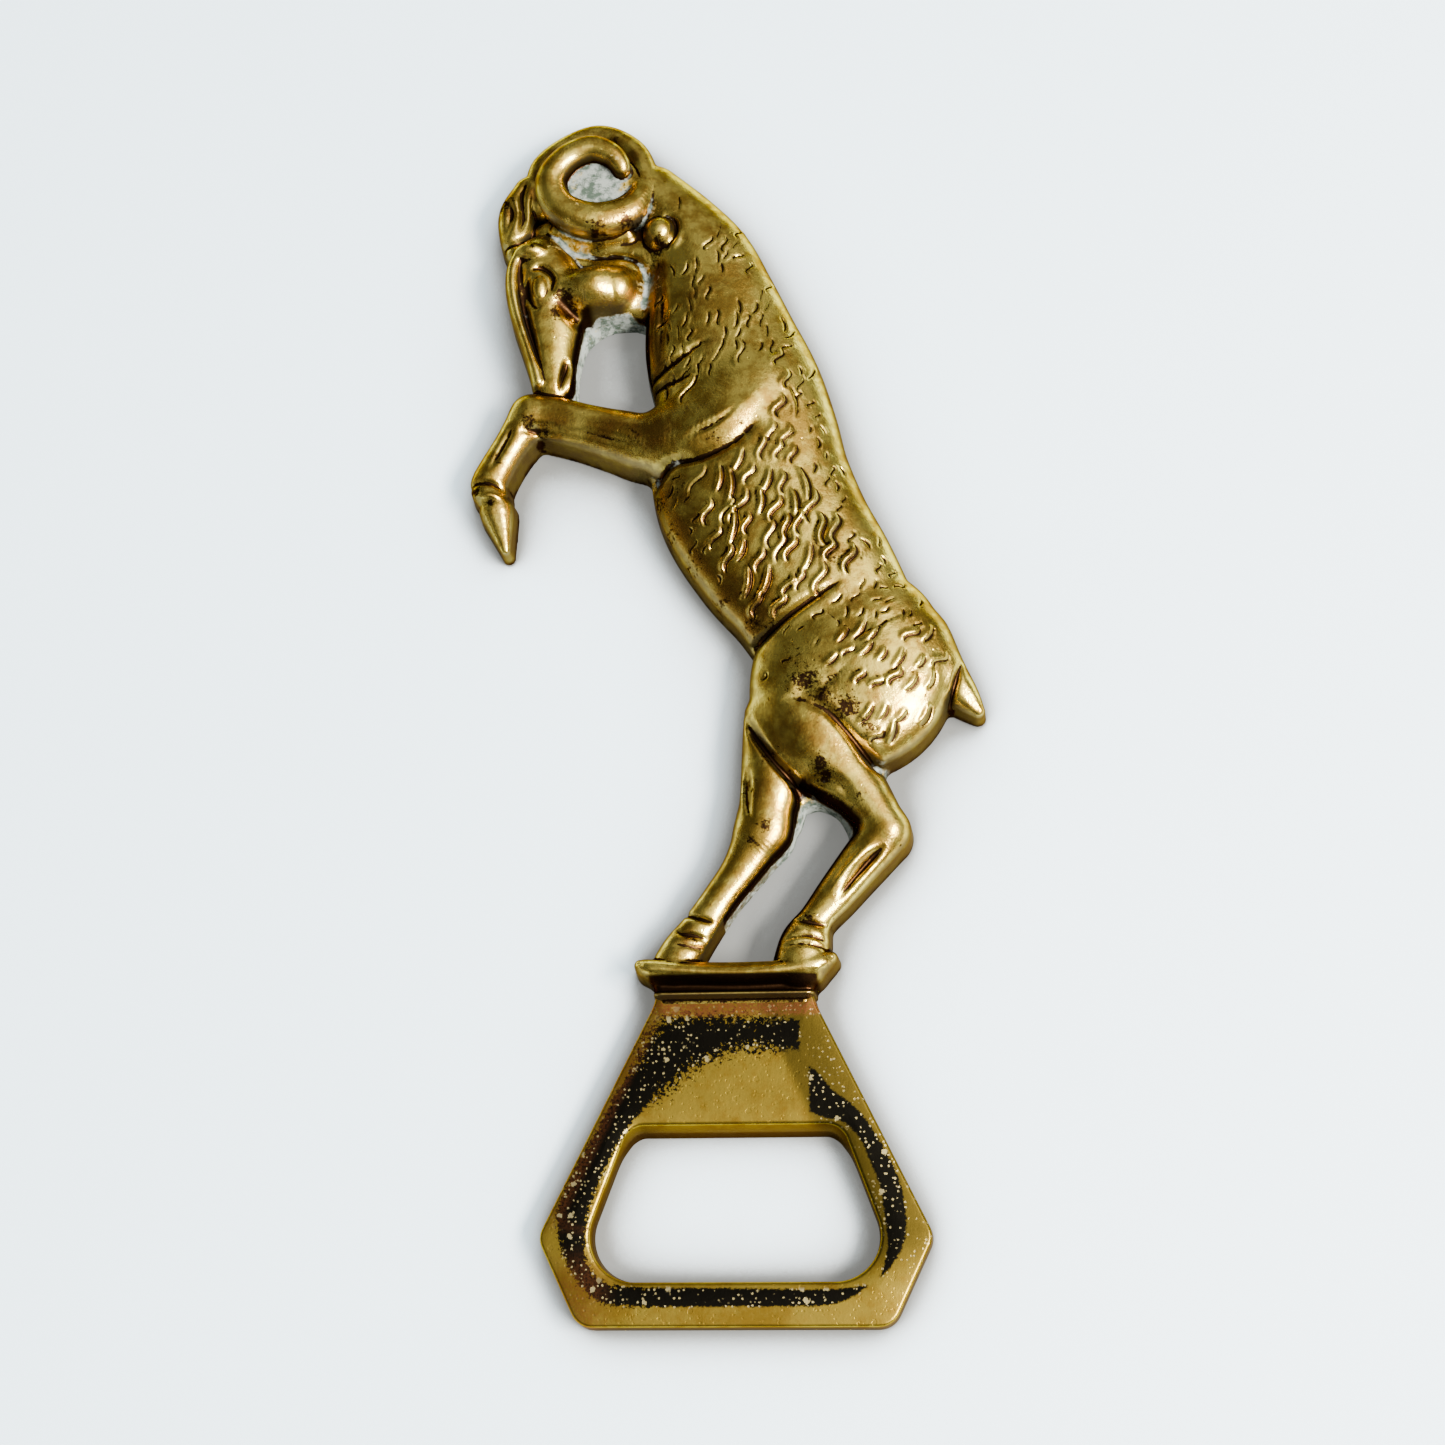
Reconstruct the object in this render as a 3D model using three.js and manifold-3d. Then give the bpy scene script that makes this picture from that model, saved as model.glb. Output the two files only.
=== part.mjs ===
// Bottle opener cast in brass: a rearing ram in relief standing on a moulded plinth, with a six-sided
// opener plate below. The real object is one casting with a flat back. Each mesh here is a named
// region of that casting, and neighbouring regions meet face to face.
// Millimetres. Lengths are given from the middle of the plate's lower edge: X to the right, Y up
// the figure, Z out of the flat back. The exported group is centred on its own bounding box.
import * as THREE from "three";
import { mergeVertices } from "three/addons/utils/BufferGeometryUtils.js";
import Module from "manifold-3d";

// Opener plate
const PLATE_THICKNESS = 3.4;
const PLATE_FOOT_HALF_WIDTH = 16.5;
const PLATE_SHOULDER_HALF_WIDTH = 21;
const PLATE_SHOULDER_HEIGHT = 9.2;
const PLATE_NECK_HALF_WIDTH = 8.8;
const PLATE_TOP = 34;
const PLATE_CORNER = 2.2;

// Opening that takes a crimped crown cap
const OPENING_FOOT = 4.6;
const OPENING_TOP = 20.9;
const OPENING_FOOT_HALF_WIDTH = 17.5;
const OPENING_TOP_HALF_WIDTH = 11.4;
const OPENING_FOOT_CORNER = 5.5;
const OPENING_TOP_CORNER = 2.2;

// Plinth under the hooves
const PLINTH_TOP = 39.2;
const PLINTH_NECK_HEIGHT = 4.3;
const PLINTH_NECK_SPREAD = 0.6;

// Horn
const HORN_CENTRE = new THREE.Vector2(-17.2, 136.9);
const HORN_OUTER_RADIUS = 7.2;
const HORN_INNER_RADIUS = 4.2;
const HORN_CROWN = 9;
const HORN_FLOOR = 6;
const HORN_RIM_RADIUS = 7.8;
const HORN_RIM_HEIGHT = 5.6;

// Ear
const EAR_CENTRE = new THREE.Vector2(-9.2, 129.5);
const EAR_RADIUS = 2.1;
const EAR_HEIGHT = 7.4;

// Casting detail
const WALL_DRAFT = 0.06; // run over rise of the side walls
const DOME_STEPS = 8; // facets across a limb's rounded crown
const STEPS_PER_STATION = 2;
const ROUND_STEPS = 24;
const CUT_DEPTH = 12; // deeper than the casting is thick

// A limb is a relief form with a flat back, side walls `wall` high and a rounded crown.
// Each station is [x, y, half width, crown height].
const LIMBS = {
  barrel: { wall: 3.4, stations: [
    [12.5, 76, 9.4, 7.6], [8.8, 83, 10.2, 8.2], [5.2, 88.6, 11, 8.6], [2.2, 95, 11.6, 8.8],
    [1.2, 101, 11.2, 8.8], [0.6, 107, 10, 8.6], [-1.4, 113, 9.3, 8], [-2.6, 119, 7.9, 7.6],
    [-3.7, 125, 6.2, 7.2], [-6.5, 130, 5, 6.8], [-10.5, 134.5, 4.4, 6.2] ] },
  haunch: { wall: 3.4, stations: [[9.5, 68, 7.8, 7.4], [13.3, 71.4, 11.3, 8.6], [14.1, 74.6, 9.9, 8.2]] },
  nearThigh: { wall: 3.4, stations: [
    [8.4, 66.7, 5.4, 8.3], [9.6, 63.2, 4.9, 8], [11.8, 60.2, 4, 7.4], [14.1, 57.6, 3.2, 6.8],
    [17.4, 52.8, 2.4, 6.2] ] },
  nearShank: { wall: 3.4, stations: [
    [16.8, 52.8, 2.8, 6], [13.9, 49.3, 2.5, 5.6], [11.3, 46.1, 2.2, 5.2], [9, 43.2, 1.9, 5],
    [7.8, 40.6, 2.7, 5.8], [7.4, 38.4, 3.1, 6] ] },
  farThigh: { wall: 3.4, stations: [
    [6, 66, 5, 6.6], [4.6, 61, 3.8, 6.4], [3.9, 57, 3.3, 6.2], [3.4, 53.6, 3, 5.8] ] },
  farShank: { wall: 3.4, stations: [
    [3.4, 53.6, 3, 5.8], [0.9, 49.3, 2.2, 5.2], [-1.6, 45.8, 1.9, 5], [-4, 42.4, 2, 4.9],
    [-5.6, 40, 2.3, 5.2], [-6.4, 38.4, 2.5, 5.4] ] },
  tail: { wall: 2.6, stations: [
    [21.3, 75.2, 3.6, 6.2], [23.8, 71.4, 2.7, 5.3], [25.9, 68.8, 1.8, 4.6], [27.6, 66.9, 0.8, 3.6] ] },
  shoulder: { wall: 3.4, stations: [[2, 106, 6.5, 9.2], [-1.5, 102.6, 5.8, 9.5], [-7, 101.4, 4.2, 8.2]] },
  forearm: { wall: 3.6, stations: [
    [-4, 101.6, 4.6, 8.4], [-10, 101.2, 3.7, 7.2], [-14, 102.3, 3.2, 6.6], [-18, 103.6, 2.9, 6.2],
    [-21.5, 104.7, 2.9, 6], [-24.2, 105.2, 2.7, 6] ] },
  cannon: { wall: 3.2, stations: [
    [-24.4, 105.3, 2.7, 6], [-26.6, 101.8, 2.2, 5.4], [-28.3, 98.8, 2.2, 5.2], [-29.2, 96.6, 2.3, 5.2],
    [-28.6, 94.4, 2.2, 5] ] },
  hoof: { wall: 2.6, stations: [[-28.3, 93.6, 2.1, 4.8], [-27.8, 91.4, 1.5, 4.2], [-27.1, 88.4, 0.6, 3.4]] },
  skull: { wall: 3.4, stations: [
    [-24, 129, 4.2, 6.2], [-23.6, 125.6, 3.9, 6.6], [-22.9, 122, 4.7, 6.8], [-22.6, 118.5, 4.3, 6.5],
    [-22.3, 115, 3.4, 6], [-22.1, 111.6, 2.75, 5.6], [-21.9, 109.4, 2.5, 5.4] ] },
  nose: { wall: 4, stations: [
    [-25.7, 126.6, 1.2, 6.9], [-26.7, 123, 1.1, 6.9], [-26.2, 118.5, 1.05, 6.6], [-24.6, 113.5, 1, 6.3],
    [-23.4, 109.2, 1, 6] ] },
  forelock: { wall: 3.2, stations: [
    [-25.4, 136, 2.3, 5.2], [-26.8, 132.9, 2.5, 5.6], [-27, 129.8, 2.1, 5.4], [-27, 127.5, 1.3, 5] ] },
  poll: { wall: 3.2, stations: [[-25, 133.5, 4.3, 5.4], [-18, 135, 7.5, 5.6], [-12, 134, 5, 5.6]] },
  cheek: { wall: 1.8, stations: [[-20.8, 120.8, 3.1, 6.8], [-17, 121.4, 3.6, 7.8], [-14.5, 121.6, 3.5, 7]] },
  nape: { wall: 3.2, stations: [
    [-22.5, 129, 3, 4.6], [-17, 128.5, 4, 4.8], [-12, 127, 4.2, 5], [-7, 127.5, 3.5, 5.6] ] },
  throat: { wall: 3.2, stations: [[-12.6, 121.3, 3, 4.5], [-10, 120.5, 3, 4.5]] },
  moulding: { wall: 4.4, stations: [[-9.8, 38, 1.3, 6.2], [0, 37.5, 1.3, 6.6], [9.8, 38, 1.3, 6.2]] },
  bead: { wall: 4, stations: [[-8.6, 34.7, 0.5, 4.9], [0, 34.6, 0.5, 4.9], [8.6, 34.7, 0.5, 4.9]] },
  hornTip: { wall: 5.6, stations: [[-18.6, 141.4, 1.3, 8.2], [-16.2, 140.4, 1.2, 8.2], [-15, 138.4, 0.6, 7.2]] },
  earLeaf: { wall: 3.6, stations: [[-8.2, 129, 1.8, 7], [-7.2, 126.8, 1.2, 6.6]] },
};

// Dividing lines between the regions, in the order in which they are cut from the casting. Each
// outline may run outside the metal. The last region is what is left.
const FAR = 40;
const REGIONS = [
  { name: "lower_bar", outline: [[-FAR, -1], [FAR, -1], [FAR, OPENING_FOOT], [-FAR, OPENING_FOOT]] },
  { name: "left_arm", outline: [
    [-FAR, OPENING_FOOT], [0, OPENING_FOOT], [0, OPENING_TOP], [-FAR, OPENING_TOP] ] },
  { name: "right_arm", outline: [
    [0, OPENING_FOOT], [FAR, OPENING_FOOT], [FAR, OPENING_TOP], [0, OPENING_TOP] ] },
  { name: "web", outline: [
    [-FAR, OPENING_TOP], [FAR, OPENING_TOP], [FAR, PLATE_TOP], [-FAR, PLATE_TOP] ] },
  { name: "plinth", outline: [
    [-FAR, PLATE_TOP], [FAR, PLATE_TOP], [FAR, PLINTH_TOP], [-FAR, PLINTH_TOP] ] },
  { name: "far_shank", outline: [[-12, PLINTH_TOP], [3, PLINTH_TOP], [8.4, 52.6], [-12, 52.6]] },
  { name: "near_shank", outline: [[3, PLINTH_TOP], [22, PLINTH_TOP], [22, 52.6], [8.4, 52.6]] },
  { name: "far_thigh", outline: [
    [-2, 52.6], [8.4, 52.6], [8.4, 57.2], [4.6, 61], [2.4, 66.5], [-2, 66.5] ] },
  { name: "near_thigh", outline: [
    [8.4, 52.6], [22, 52.6], [16.2, 59.8], [9.6, 67.2], [2.4, 66.5], [4.6, 61], [8.4, 57.2] ] },
  { name: "tail", outline: [[24, 62], [32, 62], [32, 75], [26.5, 73]] },
  { name: "fore_hoof", outline: [[-36, 84], [-22, 84], [-22, 94.7], [-36, 94.7]] },
  { name: "fore_cannon", outline: [[-36, 94.7], [-22, 94.7], [-21.5, 101], [-32, 107.6]] },
  { name: "forearm", outline: [
    [-32, 107.6], [-21.5, 101], [-20, 93], [-9.8, 93], [-9.8, 105], [-19, 106.9], [-27, 108.8] ] },
  { name: "muzzle", outline: [[-30, 108], [-27, 108.8], [-19, 106.9], [-17, 116.4], [-30, 116.4]] },
  { name: "haunch", outline: [
    [-2, 58], [26, 58], [28, 82], [20, 83.5], [13, 82.4], [9.5, 80.6], [6, 78.2], [1.6, 74.6], [-2, 70] ] },
  { name: "barrel", outline: [[-14, 70], [28, 70], [28, 105], [16, 104], [-12, 96.6]] },
  { name: "shoulder", outline: [[-12, 96.6], [16, 104], [16, 115], [-12, 107.8]] },
  { name: "horn", outline: circle(HORN_CENTRE, 8.4, ROUND_STEPS) },
  { name: "ear", outline: circle(new THREE.Vector2(-8.8, 128.6), 3.2, ROUND_STEPS / 2) },
  { name: "neck", outline: [[-10.5, 106], [16, 106], [16, 150], [-10.5, 150]] },
  { name: "head", outline: null },
];

// Finish of each region, from the plate's dark, pitted face to the bright horn and hooves
const BRASS = 0xb08d3c;
const DARK_BRASS = 0x7d6228;
const BRIGHT_BRASS = 0xc9a552;
const FINISH = {
  web: DARK_BRASS, left_arm: DARK_BRASS, right_arm: DARK_BRASS, lower_bar: DARK_BRASS,
  horn: BRIGHT_BRASS, fore_hoof: BRIGHT_BRASS, ear: BRIGHT_BRASS, plinth: BRIGHT_BRASS,
};

function circle(centre, radius, steps) {
  return Array.from({ length: steps }, (_, i) => {
    const angle = (2 * Math.PI * i) / steps;
    return [centre.x + radius * Math.cos(angle), centre.y + radius * Math.sin(angle)];
  });
}

const wasm = await Module();
wasm.setup();

// A closed three.js geometry as a manifold solid
function solid(geometry) {
  const bare = new THREE.BufferGeometry().setAttribute("position", geometry.getAttribute("position"));
  bare.setIndex(geometry.index);
  const merged = mergeVertices(bare, 1e-4);
  return new wasm.Manifold(new wasm.Mesh({
    numProp: 3,
    vertProperties: merged.attributes.position.array,
    triVerts: new Uint32Array(merged.index.array),
  }));
}

// A manifold solid as a three.js geometry
function geometryOf(body) {
  const mesh = body.getMesh();
  const geometry = new THREE.BufferGeometry();
  geometry.setAttribute("position", new THREE.BufferAttribute(mesh.vertProperties, 3));
  geometry.setIndex(new THREE.BufferAttribute(mesh.triVerts, 1));
  geometry.computeVertexNormals();
  return geometry;
}

// A limb's section across its path, from the left foot over the crown to the right foot
function section(centre, across, halfWidth, crown, wall) {
  const foot = halfWidth + WALL_DRAFT * wall;
  const points = [[-foot, 0]];
  for (let i = 0; i <= DOME_STEPS; i++) {
    const angle = (Math.PI * i) / DOME_STEPS;
    points.push([-halfWidth * Math.cos(angle), wall + (crown - wall) * Math.sin(angle)]);
  }
  points.push([foot, 0]);
  return points.map(([u, z]) => new THREE.Vector3(centre.x + across.x * u, centre.y + across.y * u, z));
}

// A limb lofted through its stations, with rounded ends
function limb({ wall, stations }) {
  const curve = (points) => new THREE.CatmullRomCurve3(points, false, "catmullrom");
  const path = curve(stations.map(([x, y]) => new THREE.Vector3(x, y, 0)));
  const size = curve(stations.map(([, , halfWidth, crown]) => new THREE.Vector3(halfWidth, crown, 0)));
  const rings = [];
  const addRing = (t, swing) => {
    const along = path.getTangent(t);
    const { x: halfWidth, y: crown } = size.getPoint(t);
    const centre = path.getPoint(t).addScaledVector(along, halfWidth * Math.sin(swing));
    const shrink = Math.cos(swing);
    const across = new THREE.Vector3(along.y, -along.x, 0);
    rings.push(section(centre, across, halfWidth * shrink, wall + (crown - wall) * shrink, wall));
  };
  const swings = [1.4, 1.05, 0.6];
  const spans = STEPS_PER_STATION * (stations.length - 1);
  swings.forEach((swing) => addRing(0, -swing));
  for (let i = 0; i <= spans; i++) addRing(i / spans, 0);
  swings.reverse().forEach((swing) => addRing(1, swing));

  const count = rings[0].length;
  const faces = [];
  for (let i = 0; i + 1 < rings.length; i++) {
    for (let j = 0; j < count; j++) {
      const a = i * count + j;
      const b = i * count + ((j + 1) % count);
      faces.push(a, b, a + count, b, b + count, a + count);
    }
  }
  const last = (rings.length - 1) * count;
  for (let j = 1; j + 1 < count; j++) {
    faces.push(0, j + 1, j);
    faces.push(last, last + j, last + j + 1);
  }
  const geometry = new THREE.BufferGeometry().setFromPoints(rings.flat());
  geometry.setIndex(faces);
  return solid(geometry);
}

// A closed outline with its corners rounded; each corner is [x, y, reach of the rounding]
function roundedOutline(corners, Path) {
  const outline = new Path();
  corners.forEach(([x, y, reach], i) => {
    const corner = new THREE.Vector2(x, y);
    const before = new THREE.Vector2(...corners.at(i - 1));
    const after = new THREE.Vector2(...corners[(i + 1) % corners.length]);
    const start = corner.clone().addScaledVector(before.sub(corner).normalize(), reach);
    const end = corner.clone().addScaledVector(after.sub(corner).normalize(), reach);
    if (i === 0) outline.moveTo(start.x, start.y);
    else outline.lineTo(start.x, start.y);
    if (reach > 0) outline.quadraticCurveTo(x, y, end.x, end.y);
  });
  outline.closePath();
  return outline;
}

function plate() {
  const corners = (side) => [
    [side * PLATE_FOOT_HALF_WIDTH, 0, PLATE_CORNER],
    [side * PLATE_SHOULDER_HALF_WIDTH, PLATE_SHOULDER_HEIGHT, PLATE_CORNER],
    [side * PLATE_NECK_HALF_WIDTH, PLATE_TOP, 0],
  ];
  const shape = roundedOutline([...corners(1), ...corners(-1).reverse()], THREE.Shape);
  shape.holes.push(roundedOutline([
    [-OPENING_FOOT_HALF_WIDTH, OPENING_FOOT, OPENING_FOOT_CORNER],
    [-OPENING_TOP_HALF_WIDTH, OPENING_TOP, OPENING_TOP_CORNER],
    [OPENING_TOP_HALF_WIDTH, OPENING_TOP, OPENING_TOP_CORNER],
    [OPENING_FOOT_HALF_WIDTH, OPENING_FOOT, OPENING_FOOT_CORNER],
  ], THREE.Path));
  const settings = { depth: PLATE_THICKNESS, bevelEnabled: false, curveSegments: 8 };
  return solid(new THREE.ExtrudeGeometry(shape, settings));
}

function plinthNeck() {
  const wide = PLATE_NECK_HALF_WIDTH + PLINTH_NECK_SPREAD;
  const middle = (PLATE_TOP + PLINTH_TOP) / 2;
  const shape = new THREE.Shape([
    new THREE.Vector2(-PLATE_NECK_HALF_WIDTH, PLATE_TOP - 1),
    new THREE.Vector2(PLATE_NECK_HALF_WIDTH, PLATE_TOP - 1),
    new THREE.Vector2(PLATE_NECK_HALF_WIDTH, middle - 1),
    new THREE.Vector2(wide, PLINTH_TOP - 1),
    new THREE.Vector2(-wide, PLINTH_TOP - 1),
    new THREE.Vector2(-PLATE_NECK_HALF_WIDTH, middle - 1),
  ]);
  return solid(new THREE.ExtrudeGeometry(shape, { depth: PLINTH_NECK_HEIGHT, bevelEnabled: false }));
}

// The front turn of the coiled horn around its sunk middle, on the wider turn behind it
function hornCoil() {
  const tube = (HORN_OUTER_RADIUS - HORN_INNER_RADIUS) / 2;
  const ringRadius = HORN_OUTER_RADIUS - tube;
  const profile = [new THREE.Vector2(0, 0), new THREE.Vector2(HORN_RIM_RADIUS, 0)];
  profile.push(new THREE.Vector2(HORN_RIM_RADIUS, HORN_RIM_HEIGHT - 1));
  profile.push(new THREE.Vector2(HORN_OUTER_RADIUS, HORN_RIM_HEIGHT));
  for (let i = 0; i <= 6; i++) {
    const angle = (Math.PI * i) / 6;
    const radius = ringRadius + tube * Math.cos(angle);
    profile.push(new THREE.Vector2(radius, HORN_CROWN - tube + tube * Math.sin(angle)));
  }
  profile.push(new THREE.Vector2(HORN_INNER_RADIUS, HORN_FLOOR), new THREE.Vector2(0, HORN_FLOOR));
  const coil = new THREE.LatheGeometry(profile, ROUND_STEPS);
  coil.rotateX(Math.PI / 2);
  coil.translate(HORN_CENTRE.x, HORN_CENTRE.y, 0);
  return solid(coil);
}

function earBud() {
  const bud = new THREE.SphereGeometry(1, 12, 8);
  bud.scale(EAR_RADIUS, EAR_RADIUS, EAR_HEIGHT);
  bud.translate(EAR_CENTRE.x, EAR_CENTRE.y, 0);
  return solid(bud);
}

// A vertical block over an outline, used to cut the casting into its regions
function block(outline, bottom, top) {
  const shape = new THREE.Shape(outline.map(([x, y]) => new THREE.Vector2(x, y)));
  const geometry = new THREE.ExtrudeGeometry(shape, { depth: top - bottom, bevelEnabled: false });
  geometry.translate(0, 0, bottom);
  return solid(geometry);
}

function casting() {
  let body = plate().add(plinthNeck()).add(hornCoil()).add(earBud());
  for (const form of Object.values(LIMBS)) body = body.add(limb(form));
  const around = [[-2 * FAR, -FAR], [2 * FAR, -FAR], [2 * FAR, 5 * FAR], [-2 * FAR, 5 * FAR]];
  return body.subtract(block(around, -CUT_DEPTH, 0));
}

// Cutting along a dividing line can leave crumbs beside it, so a region is its largest body
function largestBody(region) {
  const bodies = region.decompose();
  return bodies.reduce((best, body) => (body.volume() > best.volume() ? body : best));
}

const opener = new THREE.Group();
let rest = casting();
for (const { name, outline } of REGIONS) {
  let region = rest;
  if (outline) {
    const cutter = block(outline, -CUT_DEPTH, CUT_DEPTH);
    region = rest.intersect(cutter);
    rest = rest.subtract(cutter);
  }
  const color = FINISH[name] ?? BRASS;
  const finish = new THREE.MeshStandardMaterial({ color, roughness: 0.28, metalness: 1 });
  const mesh = new THREE.Mesh(geometryOf(largestBody(region)), finish);
  mesh.name = name;
  opener.add(mesh);
}

// Origin at the middle of the bounding box, on the flat back
const bounds = new THREE.Box3().setFromObject(opener);
const middle = bounds.getCenter(new THREE.Vector3());
opener.position.set(-middle.x, -middle.y, -bounds.min.z);
const root = new THREE.Group();
root.add(opener);

export default root;
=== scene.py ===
import bmesh
import bpy
import numpy as np
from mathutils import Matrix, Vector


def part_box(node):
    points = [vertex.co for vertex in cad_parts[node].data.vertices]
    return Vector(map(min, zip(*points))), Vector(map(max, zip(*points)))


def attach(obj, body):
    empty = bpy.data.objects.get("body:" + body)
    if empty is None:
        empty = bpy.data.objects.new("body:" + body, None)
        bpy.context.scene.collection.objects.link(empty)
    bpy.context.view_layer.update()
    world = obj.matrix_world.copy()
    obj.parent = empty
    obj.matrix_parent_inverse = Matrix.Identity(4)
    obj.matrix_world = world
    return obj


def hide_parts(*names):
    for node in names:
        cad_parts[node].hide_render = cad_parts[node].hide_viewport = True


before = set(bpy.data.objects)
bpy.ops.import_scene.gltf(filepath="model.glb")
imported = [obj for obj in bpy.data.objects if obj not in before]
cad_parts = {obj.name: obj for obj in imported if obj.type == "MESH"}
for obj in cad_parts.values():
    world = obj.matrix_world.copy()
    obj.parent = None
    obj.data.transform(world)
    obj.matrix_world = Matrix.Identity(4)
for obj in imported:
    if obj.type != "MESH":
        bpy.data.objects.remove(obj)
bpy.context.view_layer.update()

import openvdb
from mathutils import Matrix, Vector

# The drawing frame: millimetres, foot of the plate's middle at 0, 0, flat back at z 0.
foot_low, foot_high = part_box("lower_bar")
ORIGIN = Vector(((foot_low.x + foot_high.x) / 2, foot_low.y, 0)) * 1000
DRAFT = 0.06  # outward slope of the side walls, per millimetre down
THICK = 3.4  # the opener plate, and the height of most side walls
FAR = 9.0  # a field value well outside every shape
PLINTH_REACH = 41  # the plinth and its bead lie below this y
SKIRT_FROM = 133  # above this y the horn has a wall down to the table


def ramp(value, low, high):
    """0 below low, 1 above high, smooth between; low may be above high."""
    t = np.clip((value - low) / (high - low), 0, 1)
    return t * t * (3 - 2 * t)


def spline(stations, steps=10):
    """Catmull-Rom points through the given stations."""
    p = np.array(stations, float)
    p = np.vstack([2 * p[0] - p[1], p, 2 * p[-1] - p[-2]])
    out = []
    for i in range(1, len(p) - 2):
        a, b, c, d = p[i - 1:i + 3]
        for t in np.arange(steps) / steps:
            out.append(0.5 * (2 * b + (c - a) * t + (2 * a - 5 * b + 4 * c - d) * t ** 2
                              + (3 * b - 3 * c + d - a) * t ** 3))
    return np.array(out + [p[-2]])


def nearest(points, path, dims):
    """Distance to a path whose columns are the position, then the width, then the rest.
    Returns the distance and the interpolated other columns at the place where distance - width is least."""
    best = np.full(points[0].shape, 1e9)
    dist = np.zeros(points[0].shape)
    rest = [np.zeros(points[0].shape) for _ in range(path.shape[1] - dims)]
    for a, b in zip(path[:-1], path[1:]):
        ab = b[:dims] - a[:dims]
        t = sum((points[i] - a[i]) * ab[i] for i in range(dims)) / max(ab @ ab, 1e-12)
        t = np.clip(t, 0, 1)
        d = np.sqrt(sum((points[i] - a[i] - t * ab[i]) ** 2 for i in range(dims)))
        width = a[dims] + (b[dims] - a[dims]) * t
        closer = d - width < best
        best = np.where(closer, d - width, best)
        dist = np.where(closer, d, dist)
        for j in range(len(rest)):
            rest[j] = np.where(closer, a[dims + j] + (b[dims + j] - a[dims + j]) * t, rest[j])
    return dist, rest


def smooth_min(a, b, k):
    """The smaller of two fields, rounded where they cross."""
    if k <= 0:
        return np.minimum(a, b)
    h = np.clip(k - np.abs(a - b), 0, None) / k
    return np.minimum(a, b) - h * h * k * 0.25


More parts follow.
